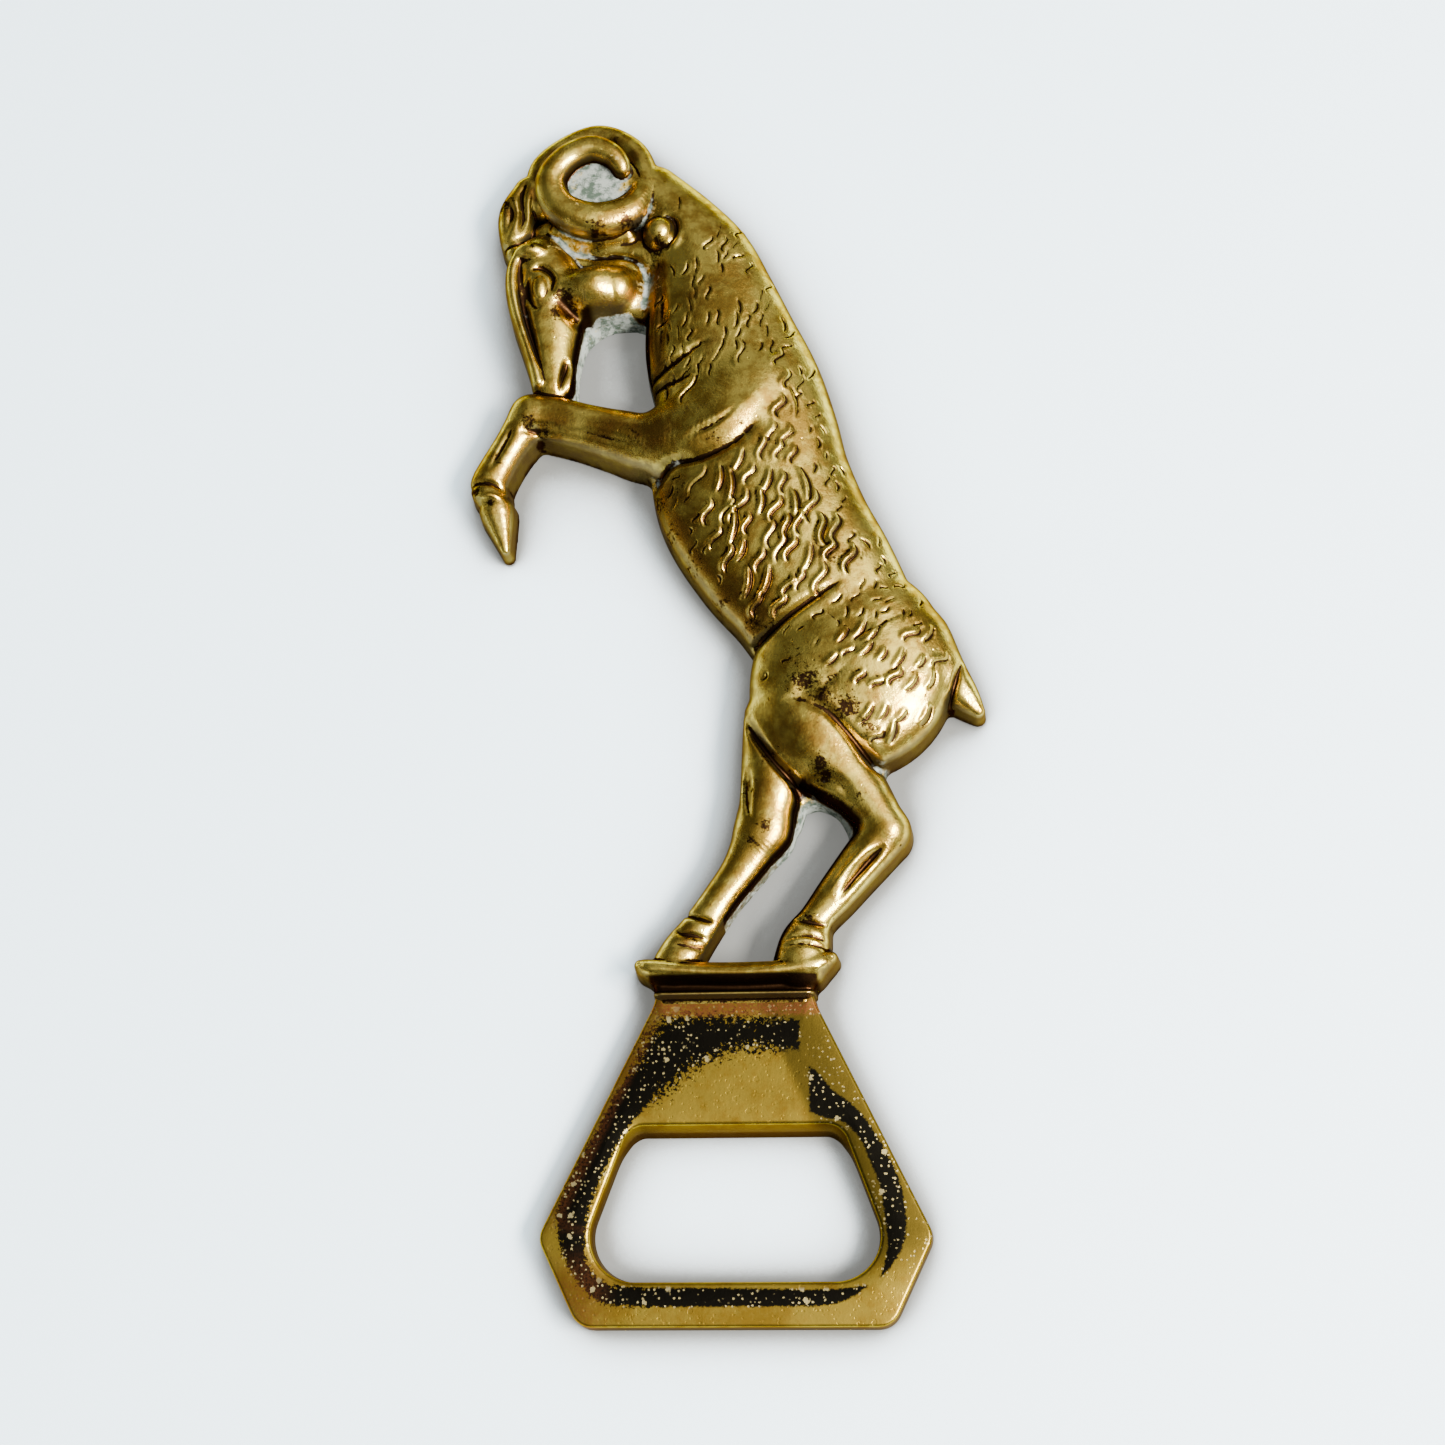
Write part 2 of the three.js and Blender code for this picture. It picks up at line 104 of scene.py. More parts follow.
# The limbs: name, height of the side wall, blend into what came before it, and stations along the
# middle line: x, y, half width, height of the crown
LIMBS = [
    ("far_thigh", 3.4, 0, [
        (6, 66, 5, 6.4), (4.7, 61, 3.9, 6.3), (3.9, 57, 3.3, 6.2), (3.2, 53.4, 3, 5.8),
    ]),
    ("far_shank", 3.4, 1, [
        (3.3, 53.6, 3.1, 5.8), (0.9, 49.3, 2.2, 5.2), (-1.6, 45.8, 1.9, 5), (-3.9, 42.4, 2, 4.9),
        (-5.6, 40, 2.3, 5.2), (-6.4, 38.4, 2.5, 5.4),
    ]),
    ("barrel", 3.4, 0.3, [
        (12.5, 76, 9.4, 7.6), (8.8, 83, 10.2, 8.2), (5.2, 88.6, 11, 8.6), (2.2, 95, 11.6, 8.8),
        (1.2, 101, 11.2, 8.8), (0.6, 107, 10, 8.6), (-1.4, 113, 9.3, 8), (-2.6, 119, 7.9, 7.6),
        (-3.7, 125, 6.2, 7.2), (-6.5, 130, 5, 6.8), (-10.5, 134.5, 4.4, 6.2),
    ]),
    ("haunch", 3.4, 0.25, [(9.5, 68, 7.8, 7.4), (13.3, 71.4, 11.3, 8.6), (14.1, 74.6, 9.9, 8.2)]),
    ("near_thigh", 3.4, 1.4, [
        (8.4, 66.7, 5.4, 8.3), (9.6, 63.2, 4.9, 8), (11.8, 60.2, 4, 7.4), (14.1, 57.6, 3.2, 6.8),
        (17, 53.2, 2.4, 6.2),
    ]),
    ("near_shank", 3.4, 0.8, [
        (16.8, 52.8, 2.8, 6), (13.9, 49.3, 2.5, 5.6), (11.3, 46.1, 2.2, 5.2), (9, 43.2, 1.9, 5),
        (7.8, 40.6, 2.7, 5.8), (7.4, 38.4, 3.1, 6),
    ]),
    ("tail", 2.6, 1, [
        (21.3, 75.2, 3.6, 6.2), (23.8, 71.4, 2.7, 5.3), (25.9, 68.8, 1.8, 4.6), (27.5, 66.9, 0.8, 3.6),
    ]),
    ("shoulder", 3.4, 1.2, [(2, 106, 6.5, 9), (-1.5, 102.6, 5.8, 9.2), (-7, 101.4, 4.2, 8)]),
    ("forearm", 3.6, 1, [
        (-4, 101.6, 4.6, 8.4), (-10, 101.2, 3.7, 7.2), (-14, 102.3, 3.2, 6.6), (-18, 103.6, 2.9, 6.2),
        (-21.5, 104.7, 2.9, 6), (-24.2, 105.2, 2.7, 6),
    ]),
    ("cannon", 3.2, 0.6, [
        (-24.4, 105.3, 2.7, 6), (-26.6, 101.8, 2.2, 5.4), (-28.3, 98.8, 2.2, 5.2),
        (-29.2, 96.6, 2.3, 5.2), (-28.9, 95.2, 2, 5),
    ]),
    ("hoof", 2.6, 0.25, [(-28.3, 93.4, 2.1, 4.8), (-27.8, 91.4, 1.5, 4.2), (-27.1, 88.4, 0.6, 3.4)]),
    ("nape", 3.2, 0.8, [
        (-22.5, 129, 3, 4.6), (-17, 128.5, 4, 4.8), (-12, 127, 4.2, 5), (-7, 127.5, 3.5, 5.6),
    ]),
    ("horn_seat", 3.2, 0.4, [(-21.5, 129.8, 1.5, 5.4), (-17, 128.4, 1.7, 5.8), (-13, 128.6, 1.5, 5.8)]),
    ("throat", 3.2, 0.8, [(-12.6, 121.3, 3, 4.5), (-10, 120.5, 3, 4.5)]),
    ("forelock", 3.2, 0.5, [
        (-25.4, 136, 2.3, 5.2), (-26.8, 132.9, 2.5, 5.6), (-27, 129.8, 2.1, 5.4), (-27, 127.5, 1.3, 5),
    ]),
    ("skull", 3.4, 0.4, [
        (-23.6, 125.6, 3.9, 6.6), (-22.9, 122, 4.7, 6.8), (-22.6, 118.5, 4.3, 6.5), (-22.3, 115, 3.4, 6),
        (-22.1, 111.6, 2.75, 5.6), (-21.9, 109.4, 2.5, 5.4),
    ]),
    ("nasal_ridge", 4, 0.25, [
        (-25.7, 126.6, 1.2, 6.6), (-26.7, 124.4, 1.15, 6.6), (-26.8, 121.7, 1.1, 6.6),
        (-26.2, 118.5, 1.05, 6.4), (-25.2, 115.3, 1, 6.2), (-24.1, 111.9, 1, 6), (-23.4, 109.2, 1, 5.8),
    ]),
    ("throat_fillet", 0.6, 0.6, [
        (-20.6, 110, 0.7, 1.6), (-20, 113.6, 0.8, 1.8), (-18.8, 116.4, 1, 1.6), (-15.8, 118.9, 0.9, 2.2),
        (-12.8, 119.9, 0.7, 2.4),
    ]),
    ("arch_fillet", 0.6, 0.6, [
        (6.4, 54.6, 1, 2.4), (7, 57.2, 1.5, 2.4), (9.8, 58.2, 1.8, 2.6), (12.4, 57.2, 1.5, 2.6),
        (13.4, 54.6, 1.2, 2.4), (13.6, 52.8, 0.8, 2.2),
    ]),
    ("cheek", 1.8, 0.9, [(-20.8, 120.8, 3.1, 6.8), (-17, 121.4, 3.6, 7.8), (-14.5, 121.6, 3.5, 7)]),
]
# The horn is a tube: x, y, z, radius
HORN = spline([
    (-24, 133.8, 3.2, 1.9), (-23.6, 139.5, 3.3, 1.85), (-17.6, 143.2, 3.4, 1.8),
    (-12.7, 140.8, 3.9, 1.75), (-10.9, 135.8, 4.7, 1.7), (-12.4, 131.6, 5.6, 2.1),
    (-16.7, 129.9, 6.3, 2.3), (-20.9, 131.6, 6.7, 2.1), (-22.3, 135.1, 7, 1.9), (-20.5, 138.2, 7.1, 1.7),
    (-17.4, 139.5, 7.3, 1.6), (-15, 138.6, 7.3, 1.45), (-13.9, 137.4, 7.1, 1.3),
    (-13.6, 136.7, 6.9, 1.15),
])
# Discs that fill the horn's coil: centre, radii, height of the top
HORN_CORE = ((-16.8, 135.2), (5.2, 4.4), 6.4)
HORN_BASE = ((-17.5, 136.4), (7, 7), 3.6)


def limb_field(x, y, z, wall, stations):
    """Signed distance-like field of a limb: steep side walls with draft, then an elliptic crown."""
    steps = 10 if max(s[2] for s in stations) < 8 else 22
    dist, (width, crown) = nearest((x, y), spline(stations, steps), 2)
    stretch = width / (crown - wall)
    rise = np.clip(z - wall, 0, None) * stretch
    q = np.sqrt(dist ** 2 + rise ** 2) + 1e-6
    slope = np.sqrt(dist ** 2 + (stretch * rise) ** 2) + 1e-6
    return (q - width) * q / slope - DRAFT * np.clip(wall - z, 0, None)


def ball(x, y, z, centre, radii):
    """Distance-like field of an ellipsoid."""
    q = [(x - centre[0]) / radii[0], (y - centre[1]) / radii[1], (z - centre[2]) / radii[2]]
    length = np.sqrt(sum(v ** 2 for v in q)) + 1e-9
    grad = np.sqrt(sum((v / r) ** 2 for v, r in zip(q, radii))) / length
    return (length - 1) / grad


# Round forms: centre, radii, blend
BALLS = [
    ((-8.9, 128.1, 5.2), (2.1, 2.1, 2.7), 0.2),  # ear bud
    ((-6.8, 127, 4.8), (1.9, 2.7, 2.3), 0.2),  # ear leaf
    ((-24.6, 126.1, 5.6), (2.1, 1.2, 1.9), 0.4),  # brow
    ((-23.3, 121.1, 5.7), (1.25, 2, 1.6), 0.05),  # eye
]


class Sheet:
    """A raster of heights added to the relief, painted stroke by stroke."""

    def __init__(self, low, high, step):
        self.low, self.step = np.array(low, float), step
        self.size = tuple(int((high[i] - low[i]) / step) + 1 for i in (0, 1))
        self.data = np.zeros(self.size)

    def window(self, path, reach):
        """The cells round a path, and their x and y."""
        lo = ((path[:, :2].min(0) - reach - self.low) / self.step).astype(int)
        hi = ((path[:, :2].max(0) + reach - self.low) / self.step).astype(int) + 1
        lo, hi = np.clip(lo, 0, np.array(self.size) - 1), np.clip(hi, 1, self.size)
        xs = self.low[0] + np.arange(lo[0], hi[0]) * self.step
        ys = self.low[1] + np.arange(lo[1], hi[1]) * self.step
        x, y = np.meshgrid(xs, ys, indexing="ij")
        return (slice(lo[0], hi[0]), slice(lo[1], hi[1])), x, y

    def stroke(self, stations, steps=4):
        """Stations are x, y, width, height; a negative height cuts a groove."""
        path = spline(stations, steps)
        where, x, y = self.window(path, 2.6 * path[:, 2].max())
        d, (_, w, h) = nearest((x, y), np.column_stack([path[:, :2], 0 * path[:, 2], path[:, 2:]]), 2)
        self.data[where] += h * np.exp(-(d / w) ** 2)

    def at(self, x, y):
        u = np.clip((x - self.low[0]) / self.step, 0, self.size[0] - 1.001)
        v = np.clip((y - self.low[1]) / self.step, 0, self.size[1] - 1.001)
        i, j = u.astype(int), v.astype(int)
        fu, fv = u - i, v - j
        d = self.data
        return ((d[i, j] * (1 - fu) + d[i + 1, j] * fu) * (1 - fv)
                + (d[i, j + 1] * (1 - fu) + d[i + 1, j + 1] * fu) * fv)


# The plinth under the hooves: a bead over a hollow neck that runs out into the plate.
PLINTH_Y = (33.2, 34, 34.4, 34.9, 35.3, 35.9, 36.5, 37.4, 38.2)
PLINTH_TOP = (3.2, 3.45, 3.6, 4.7, 4.2, 4, 4.6, 5.6, 5)
PLINTH_HALF = (8.7, 8.5, 8.4, 8.8, 8.8, 8.9, 9.3, 9.7, 9)
BEAD = [
    (-10.3, 38.2, 0.7, 5), (-9, 37.7, 1.2, 5.9), (-4, 37.2, 1.15, 6.1), (1, 37, 1.15, 6.1),
    (6, 37.3, 1.2, 6.1), (9.2, 38, 1.25, 5.9), (10.6, 38.7, 0.8, 5),
]


def plinth_field(x, y, z):
    top, half = np.interp(y, PLINTH_Y, PLINTH_TOP), np.interp(y, PLINTH_Y, PLINTH_HALF)
    side = np.abs(x) - half - DRAFT * np.clip(THICK - z, 0, None)
    ends = np.maximum(PLINTH_Y[0] - y, y - PLINTH_Y[-1])
    block = -smooth_min(-side, -(z - top) / 1.3, 1.0)
    return smooth_min(np.maximum(block, ends), limb_field(x, y, z, THICK, BEAD), 0.5)


def horn_field(x, y, z):
    """The horn's tube, the discs that fill its coil, and the wall under its outer turn."""
    back, (width, _) = nearest((x, y), HORN[:, [0, 1, 3, 2]], 2)
    x, y, z = np.broadcast_arrays(x, y, z)
    coil, (tube,) = nearest((x, y, z), HORN, 3)
    horn = coil - tube
    for centre, radii, top in (HORN_CORE, HORN_BASE):
        reach = np.hypot((x - centre[0]) / radii[0], (y - centre[1]) / radii[1])
        disc = np.maximum((reach - 1) * min(radii) - DRAFT * np.clip(top - z, 0, None), z - top)
        horn = smooth_min(horn, disc, 0.3)
    skirt = np.maximum(back - width - DRAFT * np.clip(THICK - z, 0, None), z - THICK)
    return smooth_min(horn, np.where(y > SKIRT_FROM, skirt, FAR), 0.2)


def relief(x, y, z, sheet=None):
    """The whole ram as a field, negative inside. x and y are (N, 1), z is (1, M) or (N, 1)."""
    f = np.full(np.broadcast_shapes(x.shape, z.shape), FAR)

    def within(places, reach):
        lo, hi = places[:, :2].min(0) - reach, places[:, :2].max(0) + reach
        return (x > lo[0]) & (x < hi[0]) & (y > lo[1]) & (y < hi[1])

    def merge(reached, blend, field, *settings):
        """Blends a form into the rows that it can reach."""
        rows = np.nonzero(reached[:, 0])[0]
        if len(rows):
            form = field(x[rows], y[rows], z if z.shape[0] == 1 else z[rows], *settings)
            f[rows] = smooth_min(f[rows], form, blend)

    for _, wall, blend, stations in LIMBS:
        places = np.array(stations, float)
        merge(within(places, places[:, 2].max() + 2), blend, limb_field, wall, stations)
    for centre, radii, blend in BALLS:
        merge(within(np.array([centre]), max(radii) + 1), blend, ball, centre, radii)
    merge(y < PLINTH_REACH, 0.35, plinth_field)
    merge(within(HORN, 3), 0.3, horn_field)
    if sheet is not None:
        f = f - sheet.at(x, y) * ramp(z, 2.0, 3.2)
    return f


# Grooves and ridges: stations of x, y, width, height. They fade out at the ends, which give no height.
MARKS = [
    # between the ear's bud and its leaf
    [(-8.4, 130.4, 0.3), (-7, 129.2, 0.35, -0.6), (-7, 127.2, 0.35, -0.7), (-8.2, 125.6, 0.3)],
    # eyelids round the eye
    [(-24.8, 123.2, 0.35), (-24.9, 121, 0.4, -0.7), (-24.2, 118.9, 0.4, -0.5), (-23.2, 118.2, 0.35)],
    [(-24.6, 123.4, 0.35), (-23.1, 123.7, 0.45, -0.7), (-21.8, 122.4, 0.4, -0.6), (-21.8, 120, 0.35)],
    # groove beside the nasal ridge
    [(-25.6, 124.5, 0.4), (-25.5, 121.5, 0.45, -0.45), (-24.9, 117.5, 0.5, -0.6), (-24, 114, 0.45, -0.5),
     (-23.1, 110.5, 0.4)],
    # hollow under the cheekbone
    [(-21.5, 120, 0.9), (-20.2, 118.6, 1.1, -0.8), (-19.2, 117, 0.9, -0.4), (-18.6, 116, 0.7)],
    # crevice round the face, from the forelock to the throat
    [(-23, 129, 0.5), (-20.4, 127.2, 0.5, -0.5), (-16.8, 126.1, 0.6, -0.5), (-13.6, 125.9, 0.5, -0.6),
     (-11.6, 124.9, 0.5, -0.6), (-10.6, 122.8, 0.5, -0.5), (-10.7, 120.3, 0.5, -0.3), (-11.2, 118.6, 0.5)],
    # mouth and nostril
    [(-20, 112.3, 0.3), (-20.3, 110.9, 0.35, -0.5), (-20.7, 109, 0.3, -0.4), (-20.8, 107.7, 0.3)],
    [(-19.3, 112, 0.3), (-19.4, 110.4, 0.35, 0.25), (-19.7, 108.6, 0.35, 0.2), (-19.8, 107.6, 0.3)],
    # tufts of the forelock
    [(-25.4, 137.4, 0.4), (-26.2, 134.6, 0.5, -0.5), (-26, 131.5, 0.5, -0.5), (-26.4, 129, 0.4)],
    [(-28, 134.4, 0.4), (-27.3, 132.4, 0.6, -0.6), (-27.6, 130.6, 0.5, -0.3), (-28.2, 129, 0.4)],
    [(-29, 127.8, 0.35), (-27.2, 128, 0.4, -0.5), (-25.4, 129, 0.4, -0.4), (-24.2, 130.4, 0.4)],
    # crease under the upper arm, deep at the armpit
    [(-11.4, 95, 0.8), (-9.6, 95.6, 0.9, -1.3), (-7, 97.2, 0.8, -1.1), (-3.6, 97.2, 0.7, -0.7),
     (0.4, 98.8, 0.7, -0.5), (3.6, 101.8, 0.6)],
    # muscle of the upper arm
    [(-7.5, 99.4, 1), (-3, 100.6, 1.3, 0.35), (1.6, 103, 1.2, 0.3), (4.6, 106.4, 1)],
    [(-5.6, 99.6, 0.35), (-2.8, 100.4, 0.4, -0.3), (-0.6, 101.6, 0.35, -0.2), (1, 103.2, 0.3)],
    # creases where the neck meets the shoulder
    [(-10.4, 108.4, 0.5), (-8.6, 109.4, 0.5, -0.7), (-5.6, 110.8, 0.4, -0.5), (-2.6, 112.6, 0.35)],
    [(-10.2, 107.2, 0.5), (-8, 107.6, 0.45, -0.5), (-5.8, 107.8, 0.35, -0.3), (-4.2, 108.6, 0.3)],
    [(-8.4, 109, 0.5), (-8.5, 113.5, 0.6, -0.35), (-8.4, 118.5, 0.6, -0.35), (-8.8, 123.5, 0.5)],
    # flank fold
    [(1.6, 74.6, 0.6), (3.4, 75.6, 0.6, -1.1), (6.4, 77.6, 0.55, -0.9), (9.6, 79.6, 0.5, -0.6),
     (12.6, 81.4, 0.4)],
    # thigh standing over the far leg
    [(1.4, 66.4, 0.5), (2.6, 63.8, 0.55, -0.9), (4.6, 60.8, 0.55, -1.1), (6.4, 58.8, 0.55, -1.1),
     (8, 57, 0.6, -0.6), (9.6, 56.8, 0.6)],
    # fold between the gaskin and the rump
    [(5.4, 67.4, 0.6), (7.6, 67.2, 0.8, -0.5), (10.4, 66, 0.7, -0.5), (13, 63.4, 0.6, -0.7),
     (15.4, 60.6, 0.7, -0.9), (17, 59.4, 0.7)],
    [(6.8, 69.6, 0.5), (8.4, 68.6, 1.1, -0.45), (10.2, 67.6, 0.6)],
    # far leg: shin hollow, fetlock rings
    [(1.7, 60.4, 0.4), (1.6, 58, 0.5, -0.45), (1.7, 55.4, 0.4, -0.3), (2.2, 53.6, 0.4)],
    [(-5.6, 43.9, 0.3), (-4.6, 43.5, 0.35, -0.45), (-3.2, 43, 0.35, -0.45), (-2, 42.6, 0.3)],
    [(-6.6, 42, 0.3), (-5.6, 41.5, 0.35, -0.35), (-4, 41.2, 0.35, -0.35), (-2.8, 40.8, 0.3)],
    [(-6.9, 40.6, 0.3), (-5.6, 40.2, 0.3, -0.2), (-3.9, 39.9, 0.3, -0.2), (-3.2, 39.8, 0.3)],
    # near leg: tendon groove below the hock, fetlock rings
    [(16.8, 50.9, 0.35), (15.2, 49.5, 0.45, -0.7), (13.2, 47.3, 0.4, -0.6), (11.4, 45, 0.3)],
    [(15.6, 51.4, 0.4), (13.8, 49.7, 0.5, 0.35), (12, 47.7, 0.4, 0.3), (10.6, 45.8, 0.3)],
    [(6.6, 42.9, 0.3), (7.8, 42.6, 0.35, -0.4), (9.2, 42.3, 0.35, -0.4), (10.4, 42.2, 0.3)],
    [(5.2, 40.4, 0.3), (7.2, 40.9, 0.3, -0.3), (9, 40.7, 0.3, -0.3), (10.4, 40.2, 0.3)],
    [(5, 39.7, 0.25), (7.2, 40, 0.3, -0.25), (9, 39.8, 0.3, -0.25), (10.4, 39.4, 0.25)],
    # arch over the gap between the legs
    [(8.2, 58.4, 0.5), (10, 58.4, 0.7, -0.5), (12.2, 57.6, 0.7, -0.4), (13.2, 55.6, 0.5)],
    # knee and cannon of the foreleg
    [(-25.6, 102.6, 0.4), (-24, 102.9, 0.5, -0.45), (-22.4, 102.9, 0.5, -0.35), (-20.4, 102.2, 0.4)],
    [(-26.2, 103.8, 0.4), (-26.8, 102, 0.45, -0.3), (-28, 99.6, 0.4, -0.25), (-29, 97.8, 0.3)],
    [(-31.8, 96, 0.3), (-30.4, 96.3, 0.4, -0.4), (-28.6, 96.1, 0.4, -0.4), (-27, 95.2, 0.3)],
    [(-31.4, 94.9, 0.3), (-29.8, 94.7, 0.35, 0.3), (-28.2, 94.5, 0.35, 0.3), (-26.8, 94.2, 0.3)],
    # forearm: flat and groove along the lower edge
    [(-20.6, 102.4, 0.4), (-17.2, 101.9, 0.5, -0.25), (-13.6, 100.6, 0.5, -0.3), (-10.6, 99.2, 0.4)],
    # root of the tail
    [(25.8, 72.4, 0.3), (25.3, 70.8, 0.35, -0.5), (24.8, 69, 0.35, -0.6), (24.1, 67, 0.35)],
]

# Folds that keep the hair away: x, y and no width
CREASES = [
    [(-9.6, 95.6, 0), (-7, 97.2, 0), (-3.6, 97.2, 0), (0.4, 98.8, 0), (3.6, 101.8, 0)],
    [(1.6, 74.6, 0), (6.4, 77.6, 0), (12.6, 81.4, 0)],
    [(5.4, 67.4, 0), (10.4, 66, 0), (13, 63.4, 0), (17, 59.4, 0)],
]
# Limbs that bare the coat, within this share of their half width
BARE = {"near_thigh": 1.0, "forearm": 1.0, "shoulder": 0.6, "cheek": 1.3, "nape": 1.2}
# The strokes that make one lock or nick, a ridge and a cut: shift aside, height, width
LOCK = ((0.0, 1.0, 0.36), (0.46, -0.85, 0.19))
NICK = ((0.0, -0.8, 0.17), (0.3, 0.35, 0.22))


def lock(sheet, at, turn, length, sway, curl, parts, depth):
    """One lock of hair at a place, turned from the vertical, S-shaped or curled to one side."""
    way, aside = np.array([np.sin(turn), np.cos(turn)]), np.array([np.cos(turn), -np.sin(turn)])
    t = np.linspace(-0.5, 0.5, 9)
    bow = sway * (np.cos(np.pi * t) - 0.5 if curl else np.sin(2 * np.pi * t))
    lift = np.cos(np.pi * t) ** 0.7
    for shift, height, width in parts:
        line = at + np.outer(t * length, way) + np.outer(bow + shift, aside)
        sheet.stroke(np.column_stack([line, width * (0.45 + 0.55 * lift), depth * height * lift]), 3)


def fur(sheet, seed=7):
    """The coat: full locks on the flank and the rump, short nicks elsewhere."""
    rng = np.random.default_rng(seed)
    forms = {limb[0]: limb[3] for limb in LIMBS}
    axis = np.array(forms["barrel"])

    def share(name, at):
        dist, (width, _) = nearest((at[:1], at[1:]), spline(forms[name], 4), 2)
        return (dist / width)[0]

    def places(pitch_x, pitch_y):
        """Jittered places on the coat, with random numbers and where they lie on the body."""
        for row, y in enumerate(np.arange(63.0, 133, pitch_y)):
            for x in np.arange(-14, 27, pitch_x):
                at = np.array([x + (row % 2) * 0.5 * pitch_x, y])
                at = at + rng.uniform(-0.25, 0.25, 2) * (pitch_x, pitch_y)
                luck = rng.random(5)
                coat = min(share("barrel", at), share("haunch", at))
                bald = any(share(name, at) < limit for name, limit in BARE.items())
                fold = min(nearest((at[:1], at[1:]), np.array(c, float), 2)[0][0] for c in CREASES)
                if coat < 0.88 and not bald and fold > 1.0:
                    side = (at[0] - np.interp(at[1], axis[:, 1], axis[:, 0])) / 10
                    rump = at[1] < np.interp(at[0], [1.6, 6.4, 12.6, 18], [75, 77.6, 81.4, 82])
                    yield at, luck, side, rump, fold

    def locked(at, side, rump):
        """Whether a place grows full locks."""
        if rump:
            return at[0] > 11.0 and at[1] < 75.5
        return -0.85 < side < 0.65 and at[1] < (107 if side < 0.1 else 111)

    for at, luck, side, rump, fold in places(2.0, 3.1):
        if not locked(at, side, rump) or fold < 1.4:
            continue
        if rump:
            turn = 0.60 + 0.5 * (luck[0] - 0.5)
            length = 1.9 + 1.2 * luck[1]
            depth = 0.18 + 0.12 * luck[2]
        else:
            turn = 0.20 - 0.5 * np.clip(side, 0, 0.6) + 0.45 * (luck[0] - 0.5)
            length = 2.8 + 2.4 * luck[1]
            depth = (0.14 + 0.20 * luck[2]) * np.interp(at[1], [80, 92, 106], [1.3, 1.0, 0.8])
        sway, curl = 0.10 * length + 0.15 * luck[3], luck[4] < (0.7 if rump else 0.35)
        lock(sheet, at, turn, length, sway, curl, LOCK, depth)
    for at, luck, side, rump, _ in places(1.5, 1.8):
        if locked(at, side, rump) or luck[3] < 0.3:
            continue
        neck = at[1] > 106
        turn = 0.9 * (luck[0] - 0.5) + (0.5 if rump else 0.15 if neck or side < 0 else -0.35)
        length = 0.9 + 1.1 * luck[1] + (0.8 if neck else 0.0)
        lock(sheet, at, turn, length, 0.1 + 0.3 * luck[2], luck[4] < 0.6, NICK, 0.12 + 0.15 * luck[2])


def metres(points):
    """Drawing millimetres to the row frame in metres."""
    return (np.asarray(points, float) + np.array(ORIGIN)) / 1000


def in_batches(f, points, size=60000):
    return np.concatenate([f(points[i:i + size]) for i in range(0, len(points), size)])


def figure_mesh(sheet, step=0.18):
    """The relief as one closed mesh: its zero surface, pulled onto the exact field, on a flat back."""
    low, high = np.array([-33.4, 33.0, -0.5]), np.array([30.8, 147.0, 9.9])
    xs, ys, zs = (np.arange(low[i], high[i], step) for i in range(3))
    grid = np.empty((len(xs), len(ys), len(zs)), np.float32)
    for i, x in enumerate(xs):
        column = relief(np.full((len(ys), 1), x), ys[:, None], np.clip(zs, 0, None)[None], sheet)
        grid[i] = np.maximum(column, -zs[None])
    volume = openvdb.FloatGrid()
    volume.copyFromArray(grid)
    points, quads = volume.convertToQuads(isovalue=0.0)
    p = low + points.astype(float) * step

    def value(q):
        return relief(q[:, :1], q[:, 1:2], np.clip(q[:, 2:], 0, None), sheet)[:, 0]

    def gradient(q, centre, eps=0.04):
        return np.stack([(in_batches(value, q + eps * np.eye(3)[k]) - centre) / eps for k in range(3)], 1)

    # points close to the table belong to the flat back, and the others move onto the zero surface
    flat = p[:, 2] < 0.08
    p[flat, 2] = 0
    rise = np.nonzero(~flat)[0]
    q = p[rise]
    here = in_batches(value, q)
    slope = gradient(q, here)
    size = np.clip((slope ** 2).sum(1), 0.05, None)
    p[rise] = q - slope * np.clip(here / size, -0.15, 0.15)[:, None]
    p[rise, 2] = np.clip(p[rise, 2], 0.02, None)
    normals = np.zeros_like(p)
    normals[rise] = slope
    normals[flat] = (0, 0, -1)
    normals /= np.linalg.norm(normals, axis=1)[:, None] + 1e-9
    return p, quads.astype(int), normals, flat


def hollowness(p, quads, rounds):
    """From each point to the average of its surroundings, after each number of rounds of averaging."""
    a = quads.ravel()
    b = np.roll(quads, 1, axis=1).ravel()
    ends, others = np.concatenate([a, b]), np.concatenate([b, a])
    count = np.bincount(ends, minlength=len(p)).clip(1)
    q, ways = p.copy(), []
    for turn in range(max(rounds)):
        q = np.stack([np.bincount(ends, q[others, k], len(p)) / count for k in range(3)], 1)
        if turn + 1 in rounds:
            ways.append(q - p)
    return ways


